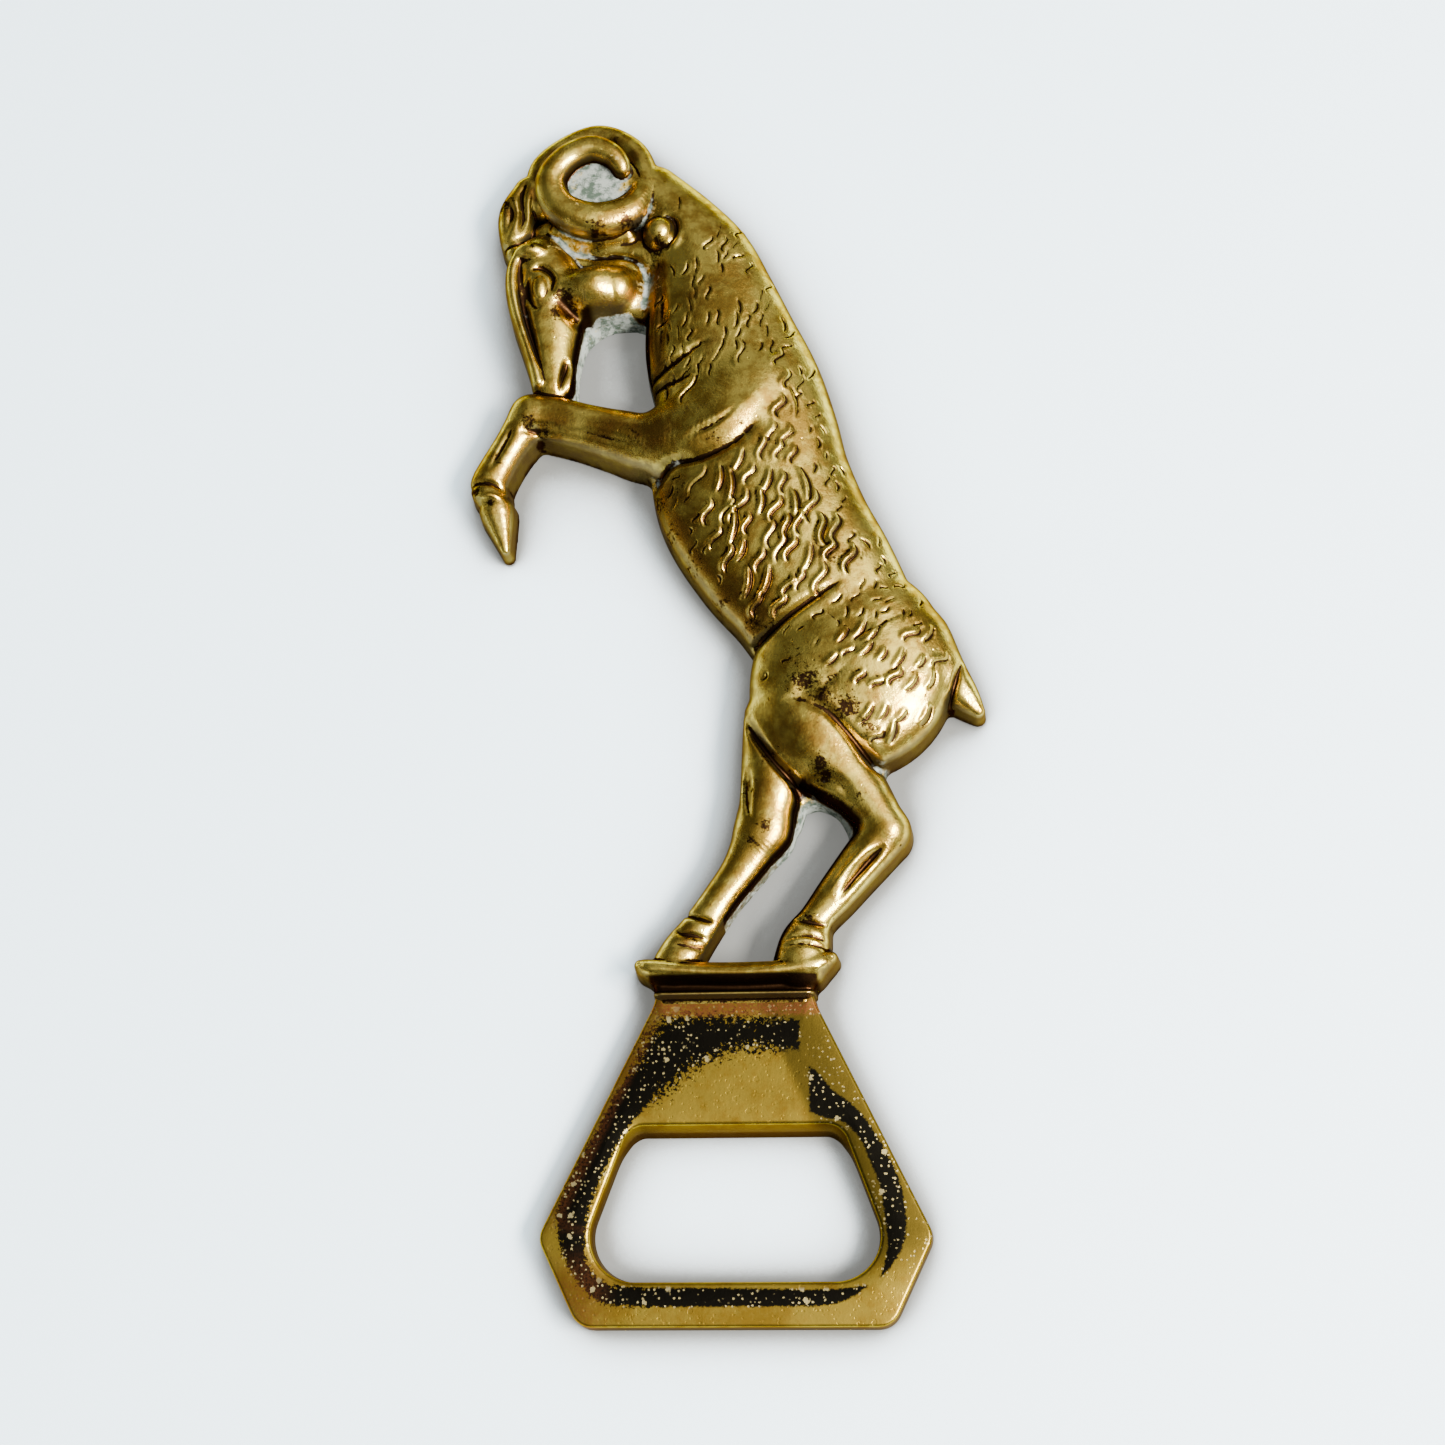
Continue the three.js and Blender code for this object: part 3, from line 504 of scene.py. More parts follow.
def rounded_outline(corners, count=240):
    """Points round a polygon whose corners are (x, y, radius), anticlockwise, evenly spaced."""
    dense = []
    total = len(corners)
    for i in range(total):
        (x0, y0, _), (x1, y1, r), (x2, y2, _) = corners[i - 1], corners[i], corners[(i + 1) % total]
        corner = np.array([x1, y1])
        a, b = np.array([x0 - x1, y0 - y1]), np.array([x2 - x1, y2 - y1])
        a, b = a / np.hypot(*a), b / np.hypot(*b)
        half = np.arccos(np.clip(a @ b, -1, 1)) / 2
        start, end = corner + a * r / np.tan(half), corner + b * r / np.tan(half)
        t = np.linspace(0, 1, 24)[:, None]
        centre = corner + (a + b) / np.linalg.norm(a + b) * r / np.sin(half)
        va, vb = start - centre, end - centre
        sweep = np.arccos(np.clip(va @ vb / r ** 2, -1, 1))
        dense.append(centre + (va * np.sin((1 - t) * sweep) + vb * np.sin(t * sweep)) / np.sin(sweep))
    dense = np.vstack(dense)
    dense = np.vstack([dense, dense[:1]])
    run = np.concatenate([[0], np.cumsum(np.hypot(*np.diff(dense, axis=0).T))])
    at = np.linspace(0, run[-1], count, endpoint=False)
    return np.stack([np.interp(at, run, dense[:, k]) for k in (0, 1)], 1)


# The opener plate and its opening, anticlockwise: x, y, corner radius
PLATE_RIGHT = [(16.5, 0, 2.4), (21, 9.2, 2.2), (8.8, 34, 0.6), (8.6, 35.2, 0.3)]
OPENING_RIGHT = [(17.5, 4.6, 4.8), (11.4, 20.9, 2.4)]


def both_sides(right_half):
    return right_half + [(-x, y, radius) for x, y, radius in reversed(right_half)]


def inward(points):
    """Unit normals of a closed anticlockwise outline, pointing into it."""
    way = np.roll(points, -1, axis=0) - np.roll(points, 1, axis=0)
    way /= np.hypot(*way.T)[:, None]
    return np.stack([-way[:, 1], way[:, 0]], 1)


def plate_mesh(around=900, across=56):
    """A ring of quads: back, outer wall, rounded edge, face, rounded lip, drafted opening wall."""
    inner = rounded_outline(both_sides(OPENING_RIGHT), around)
    outer_dense = rounded_outline(both_sides(PLATE_RIGHT), 6000)
    # pair each inner point with the outer point in the same direction from a spine across the opening
    spine = np.stack([inner[:, 0] * 0.45, np.full(around, 12.5)], 1)
    way = inner - spine
    way /= np.hypot(*way.T)[:, None]
    outer = np.empty_like(inner)
    for i in range(around):
        d = outer_dense - spine[i]
        ahead = d @ way[i]
        off = np.abs(d[:, 0] * way[i, 1] - d[:, 1] * way[i, 0])
        off = off + np.where(ahead > 0, 0, 99)
        outer[i] = outer_dense[off.argmin()]
    for turn in range(4):
        outer = (np.roll(outer, 1, 0) + 2 * outer + np.roll(outer, -1, 0)) / 4
    n_out, n_in = inward(outer), -inward(inner)
    rings = []

    def ring(points, height):
        z = np.broadcast_to(height, len(points))
        rings.append(np.column_stack([points, z]))

    edge, lip, draft, crown, shoulder = 0.38, 0.5, 0.15, 0.14, 1.6
    # the opening's upper wall slopes back to a thin lip, and the others have the same draft as outside
    slant = np.where(inner[:, 1] > 19, 0.95, draft)
    for turn in range(200):
        slant = (np.roll(slant, 1) + slant + np.roll(slant, -1)) / 3
    for s in (0.0, 0.4, 0.8):
        ring(outer - n_out * draft * (1 - s), s * (THICK - edge))
    for a in np.linspace(0, np.pi / 2, 9):
        ring(outer + n_out * edge * (1 - np.cos(a)), THICK - edge + edge * np.sin(a))
    start, end = outer + n_out * edge, inner + n_in * lip
    for s in np.linspace(0, 1, across)[1:-1]:
        face = start + (end - start) * s
        far = np.minimum(np.hypot(*(face - start).T), np.hypot(*(face - end).T) * 1.6)
        ring(face, THICK + crown * (1 - np.exp(-far / shoulder)))
    for a in np.linspace(np.pi / 2, 0, 9):
        ring(inner + n_in * lip * (1 - np.cos(a)), THICK - lip + lip * np.sin(a))
    for s in (0.5, 1.0):
        ring(inner - n_in * (slant * s)[:, None], (THICK - lip) * (1 - s))
    p = np.vstack(rings)
    faces = []
    j = np.arange(around)
    k = (j + 1) % around
    for i in range(len(rings)):
        n = (i + 1) % len(rings)
        faces.append(np.stack([i * around + j, i * around + k, n * around + k, n * around + j], 1))
    return p, np.vstack(faces)


class Shader:
    """Small helper that adds nodes to a material and wires them."""

    def __init__(self, name):
        self.material = bpy.data.materials.new(name)
        self.material.use_nodes = True
        self.tree = self.material.node_tree
        self.surface = self.tree.nodes["Principled BSDF"]
        self.place = self.node("ShaderNodeTexCoord").outputs["Object"]

    def node(self, kind, **settings):
        made = self.tree.nodes.new(kind)
        for key, value in settings.items():
            setattr(made, key, value)
        return made

    def put(self, socket, value):
        if isinstance(value, bpy.types.NodeSocket):
            self.tree.links.new(value, socket)
        elif value is not None:
            socket.default_value = value

    def set(self, name, value):
        self.put(self.surface.inputs[name], value)

    def math(self, operation, a, b=None, c=None, clamp=False):
        made = self.node("ShaderNodeMath", operation=operation, use_clamp=clamp)
        for socket, value in zip(made.inputs, (a, b, c)):
            self.put(socket, value)
        return made.outputs[0]

    def add(self, a, b):
        return self.math("ADD", a, b)

    def minus(self, a, b):
        return self.math("SUBTRACT", a, b)

    def times(self, a, b):
        return self.math("MULTIPLY", a, b)

    def most(self, a, b):
        return self.math("MAXIMUM", a, b)

    def scaled(self, value, factor, start):
        return self.math("MULTIPLY_ADD", value, factor, start)

    def swing(self, value, amount):
        """A pattern around 0.5 as a change of about plus or minus half the amount."""
        return self.times(self.minus(value, 0.5), amount)

    def attribute(self, name):
        return self.node("ShaderNodeAttribute", attribute_name=name).outputs["Fac"]

    def at_size(self, made, size, seed, stretch=(1, 1, 1)):
        """Feeds a texture node with object coordinates, so that its pattern is size millimetres across."""
        mapping = self.node("ShaderNodeMapping")
        self.put(mapping.inputs["Vector"], self.place)
        mapping.inputs["Scale"].default_value = [1000.0 / size * s for s in stretch]
        mapping.inputs["Location"].default_value = (seed, seed * 0.7, seed * 0.3)
        self.put(made.inputs["Vector"], mapping.outputs[0])
        made.inputs["Scale"].default_value = 1.0
        return made

    def noise(self, size, detail=3.0, rough=0.5, stretch=(1, 1, 1), seed=0.0):
        """Noise whose blobs are about size millimetres across, around 0.5."""
        made = self.at_size(self.node("ShaderNodeTexNoise"), size, seed, stretch)
        made.inputs["Detail"].default_value = detail
        made.inputs["Roughness"].default_value = rough
        return made.outputs["Fac"]

    def cells(self, size, seed=0.0):
        """Distance to the nearest of scattered points, size millimetres apart, and its random number."""
        made = self.at_size(self.node("ShaderNodeTexVoronoi"), size, seed)
        return made.outputs["Distance"], made.outputs["Color"]

    def step(self, value, low, high):
        """0 below low, 1 above high, smooth between; low may be above high."""
        made = self.node("ShaderNodeMapRange", interpolation_type="SMOOTHSTEP")
        self.put(made.inputs["Value"], value)
        made.inputs["From Min"].default_value = min(low, high)
        made.inputs["From Max"].default_value = max(low, high)
        made.inputs["To Min"].default_value = float(low > high)
        made.inputs["To Max"].default_value = float(low < high)
        return made.outputs["Result"]

    def mix(self, factor, a, b):
        made = self.node("ShaderNodeMix", data_type="RGBA")
        self.put(made.inputs[0], factor)
        for socket, value in ((made.inputs[6], a), (made.inputs[7], b)):
            self.put(socket, (*value, 1.0) if isinstance(value, tuple) else value)
        return made.outputs[2]

    def blend(self, factor, a, b):
        made = self.node("ShaderNodeMix", data_type="FLOAT")
        for socket, value in zip((made.inputs[0], made.inputs[2], made.inputs[3]), (factor, a, b)):
            self.put(socket, value)
        return made.outputs[0]

    def bump(self, height, distance, strength=1.0, below=None):
        """Distance is the relief's depth in millimetres."""
        made = self.node("ShaderNodeBump")
        made.inputs["Distance"].default_value = distance / 1000
        self.put(made.inputs["Strength"], strength)
        self.put(made.inputs["Height"], height)
        self.put(made.inputs["Normal"], below)
        return made.outputs[0]


BRASS = (0.76, 0.555, 0.095)
OLD_BRASS = (0.36, 0.215, 0.030)
SPECK = (0.20, 0.10, 0.02)
# painted shade: dark brass for steep walls and faces turned to the left
SHADED_SIDE_BRASS = (0.088, 0.068, 0.034)
GLAZE_SHADE_BROWN = (0.20, 0.088, 0.015)
PATINA_AND_SHADE_BROWN = (0.022, 0.010, 0.004)
DARK_CHALK = (0.040, 0.058, 0.044)
PALE_CHALK = (0.21, 0.23, 0.205)
PLATE_BRASS = (0.275, 0.184, 0.022)
OLD_PLATE = (0.185, 0.109, 0.011)
OLIVE_SHADE = (0.100, 0.067, 0.009)
PLATE_WALL_SHADE = (0.13, 0.085, 0.028)
REFLECTION_BLACK = (0.007, 0.006, 0.004)
REDDISH = (0.20, 0.065, 0.02)
PALE_FLECK = (0.31, 0.25, 0.11)
EDGE_TINT = (0.34, 0.275, 0.15, 1.0)  # dims what the metal mirrors at a grazing angle


def cast_brass():
    """Polished brass with brown patina in its hollows and white scale where cleaning left it; painted shade
    darkens its steep and left-turned sides, its foot near the table and, with the brown glazing, some
    flanks.
    """
    s = Shader("cast_brass")
    side, stain, glaze_shade = s.attribute("side"), s.attribute("stain"), s.attribute("glaze_and_shade")
    cloud, patch = s.noise(7, 4, 0.6), s.noise(1.6, 5, 0.65, seed=4)
    grain = s.noise(0.28, 3, 0.6, seed=9)
    worn = s.add(s.times(patch, 0.7), s.times(cloud, 0.6))
    tone = s.mix(s.step(worn, 0.53, 0.76), BRASS, OLD_BRASS)
    distance, number = s.cells(0.45, seed=5)
    fine = s.times(s.step(distance, 0.32, 0.18), s.step(number, 0.72, 0.76))
    tone = s.mix(s.times(fine, s.step(patch, 0.42, 0.62)), tone, SPECK)
    # painted shade: steep walls and left-turned faces take a dark brass
    tone = s.mix(s.times(side, 0.9), tone, SHADED_SIDE_BRASS)
    # brown glazing, partly painted shade on left-facing flanks and the horn's outer rim
    haze = s.add(s.swing(s.noise(2.2, 5, 0.7, seed=40), 1.6), glaze_shade)
    haze = s.times(s.step(haze, 0.15, 0.95), s.step(glaze_shade, 0.02, 0.3))
    tone = s.mix(s.times(haze, 0.9), tone, GLAZE_SHADE_BROWN)

    # dark patina in the hollows, in loose spots, in mottled stains and in the deepest places, and a painted
    # contact shadow near the table
    dirt = s.add(s.add(s.attribute("hollow"), s.swing(patch, 0.9)), s.swing(grain, 0.7))
    distance, number = s.cells(1.3, seed=2)
    spot = s.times(s.step(distance, 0.16, 0.08), s.step(number, 0.70, 0.78))
    mottle = s.add(s.times(stain, 0.8), s.swing(s.noise(0.55, 6, 0.8, seed=17), 3.4))
    tarnish_and_shade = s.most(s.step(dirt, 0.24, 0.62), s.times(spot, s.step(patch, 0.45, 0.6)))
    tarnish_and_shade = s.most(tarnish_and_shade, s.times(s.step(mottle, 0.42, 0.66), s.step(stain, 0.03, 0.15)))
    # painted contact shadow near the table
    tarnish_and_shade = s.most(tarnish_and_shade, s.times(s.attribute("low"), s.step(patch, 0.3, 0.65)))
    tarnish_and_shade = s.math("MAXIMUM", tarnish_and_shade, s.attribute("deep"), clamp=True)

    crust = s.add(s.attribute("residue"), s.swing(s.noise(0.6, 5, 0.75, seed=14), 1.8))
    crust = s.step(crust, 0.45, 0.95)
    chalk = s.mix(s.step(s.noise(1.5, 5, 0.75, seed=27), 0.40, 0.58), DARK_CHALK, PALE_CHALK)
    s.set("Base Color", s.mix(crust, s.mix(tarnish_and_shade, tone, PATINA_AND_SHADE_BROWN), chalk))
    s.set("Metallic", s.minus(1.0, s.times(crust, 0.95)))
    s.set("Specular Tint", EDGE_TINT)
    rough = s.scaled(side, 0.16, s.scaled(patch, 0.20, 0.14))
    s.set("Roughness", s.blend(crust, s.blend(tarnish_and_shade, rough, 0.38), 0.85))
    height = s.minus(s.add(patch, s.times(grain, 0.35)), s.times(spot, 0.5))
    pits = s.noise(0.12, 2, 0.5, seed=21)
    s.set("Normal", s.bump(pits, 0.02, s.blend(crust, 0.35, 1.0), s.bump(height, 0.10, 0.55)))
    return s.material


def plate_brass():
    """Brushed brass with a painted dark reflection across its face, broken by pale flecks."""
    s = Shader("plate_brass")
    cloud, patch = s.noise(6, 4, 0.6, seed=3), s.noise(1.2, 5, 0.65, seed=8)
    grain = s.noise(0.25, 3, 0.7, seed=5)
    brushed = s.noise(0.5, 3, 0.6, (1, 0.12, 1), seed=7)
    worn = s.add(s.times(patch, 0.5), s.times(cloud, 0.7))
    tone = s.mix(s.step(worn, 0.50, 0.72), PLATE_BRASS, OLD_PLATE)
    # painted shade: a darker olive strip along the plate's right edge
    tone = s.mix(s.times(s.attribute("olive_shade"), s.step(patch, 0.0, 0.4)), tone, OLIVE_SHADE)
    # painted shade: every wall below the face takes a darker brass
    tone = s.mix(s.attribute("wall"), tone, PLATE_WALL_SHADE)
    # painted dark reflection across the face, with a ragged edge
    ragged = s.swing(s.noise(0.45, 4, 0.8, seed=31), s.attribute("ragged"))
    dark_reflection = s.step(s.add(s.attribute("dark_reflection"), ragged), -0.12, 0.12)

    # pale flecks: crowds of small dots, and fewer large ones
    distance, number = s.cells(0.42, seed=3)
    dots = s.step(s.add(distance, s.times(s.noise(0.15, 2, 0.5, seed=2), 0.5)), 0.62, 0.46)
    dots = s.times(dots, s.step(s.add(number, s.noise(3.0, 3, 0.6, seed=12)), 1.04, 1.12))
    distance, number = s.cells(1.1, seed=6)
    large = s.step(s.add(distance, s.times(s.noise(0.4, 3, 0.6, seed=5), 0.7)), 0.66, 0.58)
    pale_flecks = s.most(dots, s.times(large, s.step(number, 0.72, 0.74)))
    flecks = s.times(pale_flecks, s.attribute("fleck"))

    colour = s.mix(dark_reflection, tone, REFLECTION_BLACK)
    colour = s.mix(s.times(s.attribute("red"), s.step(grain, 0.3, 0.6)), colour, REDDISH)
    s.set("Base Color", s.mix(flecks, colour, PALE_FLECK))
    s.set("Metallic", 1.0)
    s.set("Specular Tint", EDGE_TINT)
    s.set("Roughness", s.blend(flecks, s.scaled(patch, 0.15, 0.27), 0.45))
    height = s.add(s.times(patch, 0.6), s.times(brushed, 0.25))
    height = s.minus(height, s.times(pale_flecks, 0.35))
    s.set("Normal", s.bump(grain, 0.02, 0.4, s.bump(height, 0.05, 0.5)))
    return s.material


# The painted dark reflection on the plate's face. A bright stripe under the casting's foot splits it in two
# bands:
# which side of the stripe, then x, y, half width along the band.
STRIPE_X = 7.55
DARK_REFLECTION_TOP = 32.9
DARK_REFLECTION_BANDS = [
    (-1, [
        (9.5, 30.3, 1.5), (7.2, 30.4, 1.6), (2.8, 30.7, 1.75), (-1, 30.6, 2.1), (-4.5, 30, 2.8),
        (-6.6, 29.2, 3.2), (-8.7, 26.5, 2.4), (-11.2, 23.6, 1.7), (-13.4, 20.1, 1.45), (-15.4, 16.3, 1.5),
        (-16.7, 13.4, 1.6), (-17.3, 11, 1.65), (-17, 8, 1.3), (-16.1, 5.6, 0.95), (-14.4, 3.9, 1),
        (-11.7, 3.15, 1), (-1.5, 3, 0.95), (8.5, 2.95, 0.85), (11.6, 3.3, 0.6), (13.8, 4.1, 0.1),
    ]),
    (1, [
        (5.8, 25.4, 2.1), (7.4, 25, 2.1), (9.5, 23.3, 1.6), (12.2, 21.9, 1.05), (14, 19.9, 0.85),
        (15.4, 17.1, 1), (16.5, 14.4, 1.1), (17, 10.8, 1.1), (16.9, 8.5, 0.85), (16.1, 6.3, 0.4),
        (15.2, 4.9, 0.05),
    ]),
]


def dark_reflection_depth(x, y):
    """How far inside the painted dark reflection a point lies, negative outside it."""
    depth = np.full(x.shape, -FAR)
    for side, stations in DARK_REFLECTION_BANDS:
        away, (width,) = nearest((x, y), spline(stations, 6), 2)
        beside = np.where(y > 20, side * (x - STRIPE_X) - 0.5, FAR)
        depth = np.maximum(depth, np.minimum(width - away, beside))
    return np.minimum(depth, DARK_REFLECTION_TOP - y)


def inside(x, y, outline):
    """Whether each point lies inside a closed outline."""
    p = np.array(outline, float)
    found = np.zeros(x.shape, bool)
    for a, b in zip(p, np.roll(p, -1, axis=0)):
        crosses = (a[1] > y) != (b[1] > y)
        with np.errstate(divide="ignore", invalid="ignore"):
            found ^= crosses & (x < a[0] + (y - a[1]) * (b[0] - a[0]) / (b[1] - a[1]))
    return found


def near(x, y, places):
    """The strongest of soft round patches: x, y, radius, strength."""
    best = np.zeros(len(x))
    for px, py, radius, strength in places:
        spread = ((x - px) ** 2 + (y - py) ** 2) / (1.25 * radius) ** 2
        best = np.maximum(best, strength * np.exp(-spread))
    return best


# White scale left by cleaning: x, y, radius, strength
SCALE = [
    (-16.7, 134.7, 2.6, 3), (-20.8, 127.8, 1.9, 1.1), (-18.6, 126.9, 1.6, 1), (-15.5, 126.6, 0.9, 0.6),
    (-12.8, 126.3, 0.9, 0.7), (-10.8, 124.3, 1.1, 0.9), (-10.5, 121.8, 1.6, 1.3),
    (-10.9, 119.6, 1.4, 1.2), (-11.6, 130.3, 1.2, 0.8), (-9.6, 131.4, 1.2, 0.9), (-7.2, 130.4, 0.9, 0.6),
    (-13, 118.4, 1.3, 0.7), (-15.8, 117.3, 1.2, 0.8), (-18.2, 116, 1, 0.7), (-24.5, 118, 1, 0.5),
    (-9.6, 96.2, 1.1, 0.7), (-6.6, 97.2, 1, 0.6), (16.6, 60.4, 1, 0.9), (9.6, 57.2, 1.6, 0.5),
    (12.6, 54.6, 1.2, 0.4),
]

# Mottled dark stains: x, y, radius, strength
STAINS = [
    (-20.4, 119.4, 1.3, 1), (-19.6, 117.9, 0.9, 0.9), (-21.4, 117.5, 0.8, 0.8), (-28.4, 133.6, 1, 0.8),
    (-24.4, 103.6, 0.9, 0.9), (-22.6, 102.9, 0.8, 0.7), (-9.4, 124.5, 0.9, 0.5), (-8.8, 92.4, 1.3, 0.6),
    (-7.2, 88.6, 1.2, 0.55), (-4.6, 84.6, 1.1, 0.5), (-1.2, 80.2, 1.1, 0.6), (2.4, 77.2, 1, 0.7),
    (4.6, 76.8, 0.9, 0.6), (-6.2, 93.6, 1, 0.5), (8.2, 69.6, 1.6, 0.85), (10.2, 67.6, 1.4, 0.8),
    (12.8, 66.2, 1.6, 0.8), (15.2, 64.2, 1.3, 0.6), (7, 72, 1.4, 0.4), (9.8, 59.8, 0.9, 1),
    (10.4, 58.6, 0.9, 0.9), (14, 56.2, 0.6, 0.8), (3.6, 53.3, 0.7, 0.9), (2.2, 51.6, 0.7, 0.8),
    (1.6, 58, 0.8, 0.7), (4, 61.6, 0.9, 0.7), (6, 59, 0.9, 0.7), (-4.4, 40.9, 0.9, 0.5),
    (8.2, 42.8, 0.8, 0.8), (8, 40.2, 1, 0.5), (-30.4, 95.4, 0.8, 0.8), (-28.6, 93.8, 0.9, 0.6),
    (-27.9, 99.4, 0.8, 0.6), (-13, 129.4, 1.1, 0.8), (-16.4, 128.2, 1.2, 0.7), (-9, 126.2, 1, 0.8),
    (-11.6, 101, 1.2, 0.5), (-16, 101.8, 1, 0.45), (12, 84.5, 1.4, 0.55), (-2, 99.2, 1, 0.6),
    (1.4, 100.4, 0.9, 0.6), (-24.2, 126.6, 0.8, 0.6), (-15, 141.6, 1.3, 0.5), (-19.5, 142, 1.2, 0.5),
]

# Brown glazing, partly painted shade on left-facing flanks and round the horn's outer rim: x, y, radius,
# strength
GLAZE_AND_SHADE_SPOTS = [
    (-9, 92, 3.4, 1.1), (-7.4, 88, 3.6, 1.1), (-4.4, 84, 3.2, 1), (-1, 80, 2.8, 1), (2.4, 77.6, 2.4, 1.1),
    (-9.2, 122.5, 1.7, 1.2), (-9.3, 119.5, 1.7, 1.2), (-9.4, 116.5, 1.7, 1.2), (-9.4, 113.5, 1.7, 1.2),
    (-9.4, 110.5, 1.7, 1.1), (-24.3, 134.8, 1, 1.3), (-23.8, 137.4, 1, 1.3), (-21.8, 140, 1.1, 1.3),
    (-18.4, 141.2, 1.1, 1.3), (-15.2, 140.9, 1.1, 1.3), (-12.6, 139, 1, 1.2), (-3.6, 119, 3, 0.6),
    (1.2, 122, 2, 0.5), (6.4, 104, 2.6, 0.5), (13, 79, 2.6, 0.45), (-14.6, 102, 2.6, 0.8),
    (-9.4, 101.4, 2.8, 0.9), (-20.5, 103.8, 2.4, 0.7), (6.4, 62.6, 3, 0.7), (11, 84.4, 2.2, 0.6),
    (-27.6, 132.6, 1.8, 0.8), (-17, 141, 2.6, 0.7), (-21, 118.4, 1.8, 0.8), (-0.4, 127, 2.4, 0.6),
    (-2.4, 112.6, 2.4, 0.55), (8.6, 94, 2.6, 0.4), (3, 57, 1.8, 0.6), (-5, 40.6, 1.6, 0.6),
]

# Outlines round the openings between the legs and under the throat
LEG_GAP = [
    (-1.5, 38.5), (-1, 46), (6, 57.6), (9.8, 60),
    (14.4, 57.8), (14.4, 51), (9.4, 46), (6, 38.5),
]
THROAT_GAP = [(-21, 107), (-20.8, 114.5), (-18.8, 118.3), (-13.5, 120.4), (-10.2, 119.6), (-9.8, 107)]
THROAT_X, HORN_MIDDLE = -14.6, (-16.8, 135.0)


def casting_wear(p, normals, fine, broad):
    """What the cast brass reads at each point: hollows, dirt, scale, stains, brown glazing that is partly
    painted shade, a painted contact shadow near the table, and steep or left-turned sides that carry
    painted shade.
    """
    x, y, z = p.T
    fine, broad = (fine * normals).sum(1), (broad * normals).sum(1)
    hollow = np.clip(0.5 * (fine / 0.03 + broad / 0.35), -1, 1.5)
    # painted shade: steep walls, and faces turned to the left, get the side mark for a darker brass
    turned_left = ramp(0.3 * normals[:, 1] - normals[:, 0], 0.0, 0.3)
    steep = ramp(normals[:, 2] - 0.12 * turned_left, 0.7, 0.4)

    # walls of the two openings: dark above, white scale below, and all scale under the cheek
    in_gap = inside(x, y, LEG_GAP) | inside(x, y, THROAT_GAP)
    under_cheek = ramp(np.abs(x - THROAT_X), 3.0, 2.0) * (y > 110)
    scale_top = 2.9 + 1.6 * under_cheek
    gap_dark = steep * in_gap * ramp(z, scale_top - 1.1, scale_top) * (1 - under_cheek)
    gap_scale = np.where(y < 50, 0.72, 1.0) * in_gap * ramp(z, scale_top, scale_top - 1.0)

    # the horn's hollow: scale on its floor, tarnish on its flanks
    in_horn = ramp(np.hypot(x - HORN_MIDDLE[0], y - HORN_MIDDLE[1]), 4.3, 3.7)
    flank = in_horn * (1 - ramp(normals[:, 2], 0.80, 0.95))
    scale = np.maximum(near(x, y, SCALE) * (0.55 + 0.7 * np.clip(hollow, 0, 1)), gap_scale) * (1 - flank)

    neck_groove = ramp(y, 34.9, 35.2) * ramp(y, 37.1, 36.7) * ramp(np.abs(x), 9.6, 9.0)
    under_fillet = ramp(y, 33.9, 34.1) * ramp(y, 34.6, 34.4)
    return {
        "hollow": hollow,
        "deep": np.maximum.reduce([
            0.8 * ramp(broad, 0.22, 0.5), gap_dark, neck_groove, 0.75 * flank * ramp(z, 8.2, 7.4),
        ]),
        # painted contact shadow along the foot of the walls
        "low": ramp(z, 1.4, 0.3),
        "side": steep,
        "residue": scale,
        "stain": np.maximum(1.2 * near(x, y, STAINS), 0.8 * under_fillet),
        # brown glazing, partly painted shade on left-facing flanks and the horn's outer rim
        "glaze_and_shade": near(x, y, GLAZE_AND_SHADE_SPOTS) * (1 - 0.85 * steep),
    }


def flat_back(p, quads):
    """Triangles that fill the flat back from its rim, facing down."""
    sides = np.sort(np.vstack([quads[:, [i, (i + 1) % 4]] for i in range(4)]), axis=1)
    rim, times = np.unique(sides, axis=0, return_counts=True)
    rim = rim[times == 1]
    bm = bmesh.new()
    source = bm.verts.layers.int.new("source")
    made = {}
    for v in np.unique(rim):
        made[v] = bm.verts.new(p[v])
        made[v][source] = int(v)
    edges = [bm.edges.new((made[a], made[b])) for a, b in rim]
    bmesh.ops.triangle_fill(bm, use_beauty=True, use_dissolve=False, edges=edges, normal=(0, 0, -1))
    triangles = []
    for f in bm.faces:
        f.normal_update()
        corners = [v[source] for v in f.verts]
        triangles.append(corners if f.normal.z < 0 else corners[::-1])
    bm.free()
    return np.array(triangles)


def joined(name, p, quads, triangles, material, attributes):
    """One object from smooth quads and flat triangles that share points."""
    mesh = bpy.data.meshes.new(name)
    mesh.vertices.add(len(p))
    mesh.vertices.foreach_set("co", metres(p).astype(np.float32).ravel())
    corners = np.concatenate([quads.ravel(), triangles.ravel()]).astype(np.int32)
    sizes = np.repeat([4, 3], [len(quads), len(triangles)]).astype(np.int32)
    mesh.loops.add(len(corners))
    mesh.loops.foreach_set("vertex_index", corners)
    mesh.polygons.add(len(sizes))
    mesh.polygons.foreach_set("loop_start", (np.cumsum(sizes) - sizes).astype(np.int32))
    mesh.polygons.foreach_set("loop_total", sizes)
    mesh.update(calc_edges=True)
    for key, values in attributes.items():
        layer = mesh.attributes.new(key, "FLOAT", "POINT")
        layer.data.foreach_set("value", np.asarray(values, np.float32))
    mesh.polygons.foreach_set("use_smooth", sizes == 4)
    bm = bmesh.new()
    bm.from_mesh(mesh)
    loose = [v for v in bm.verts if not v.link_faces]
    bmesh.ops.delete(bm, geom=loose, context="VERTS")
    bm.to_mesh(mesh)
    bm.free()
    obj = bpy.data.objects.new(name, mesh)
    bpy.context.scene.collection.objects.link(obj)
    mesh.materials.append(material)
    return obj


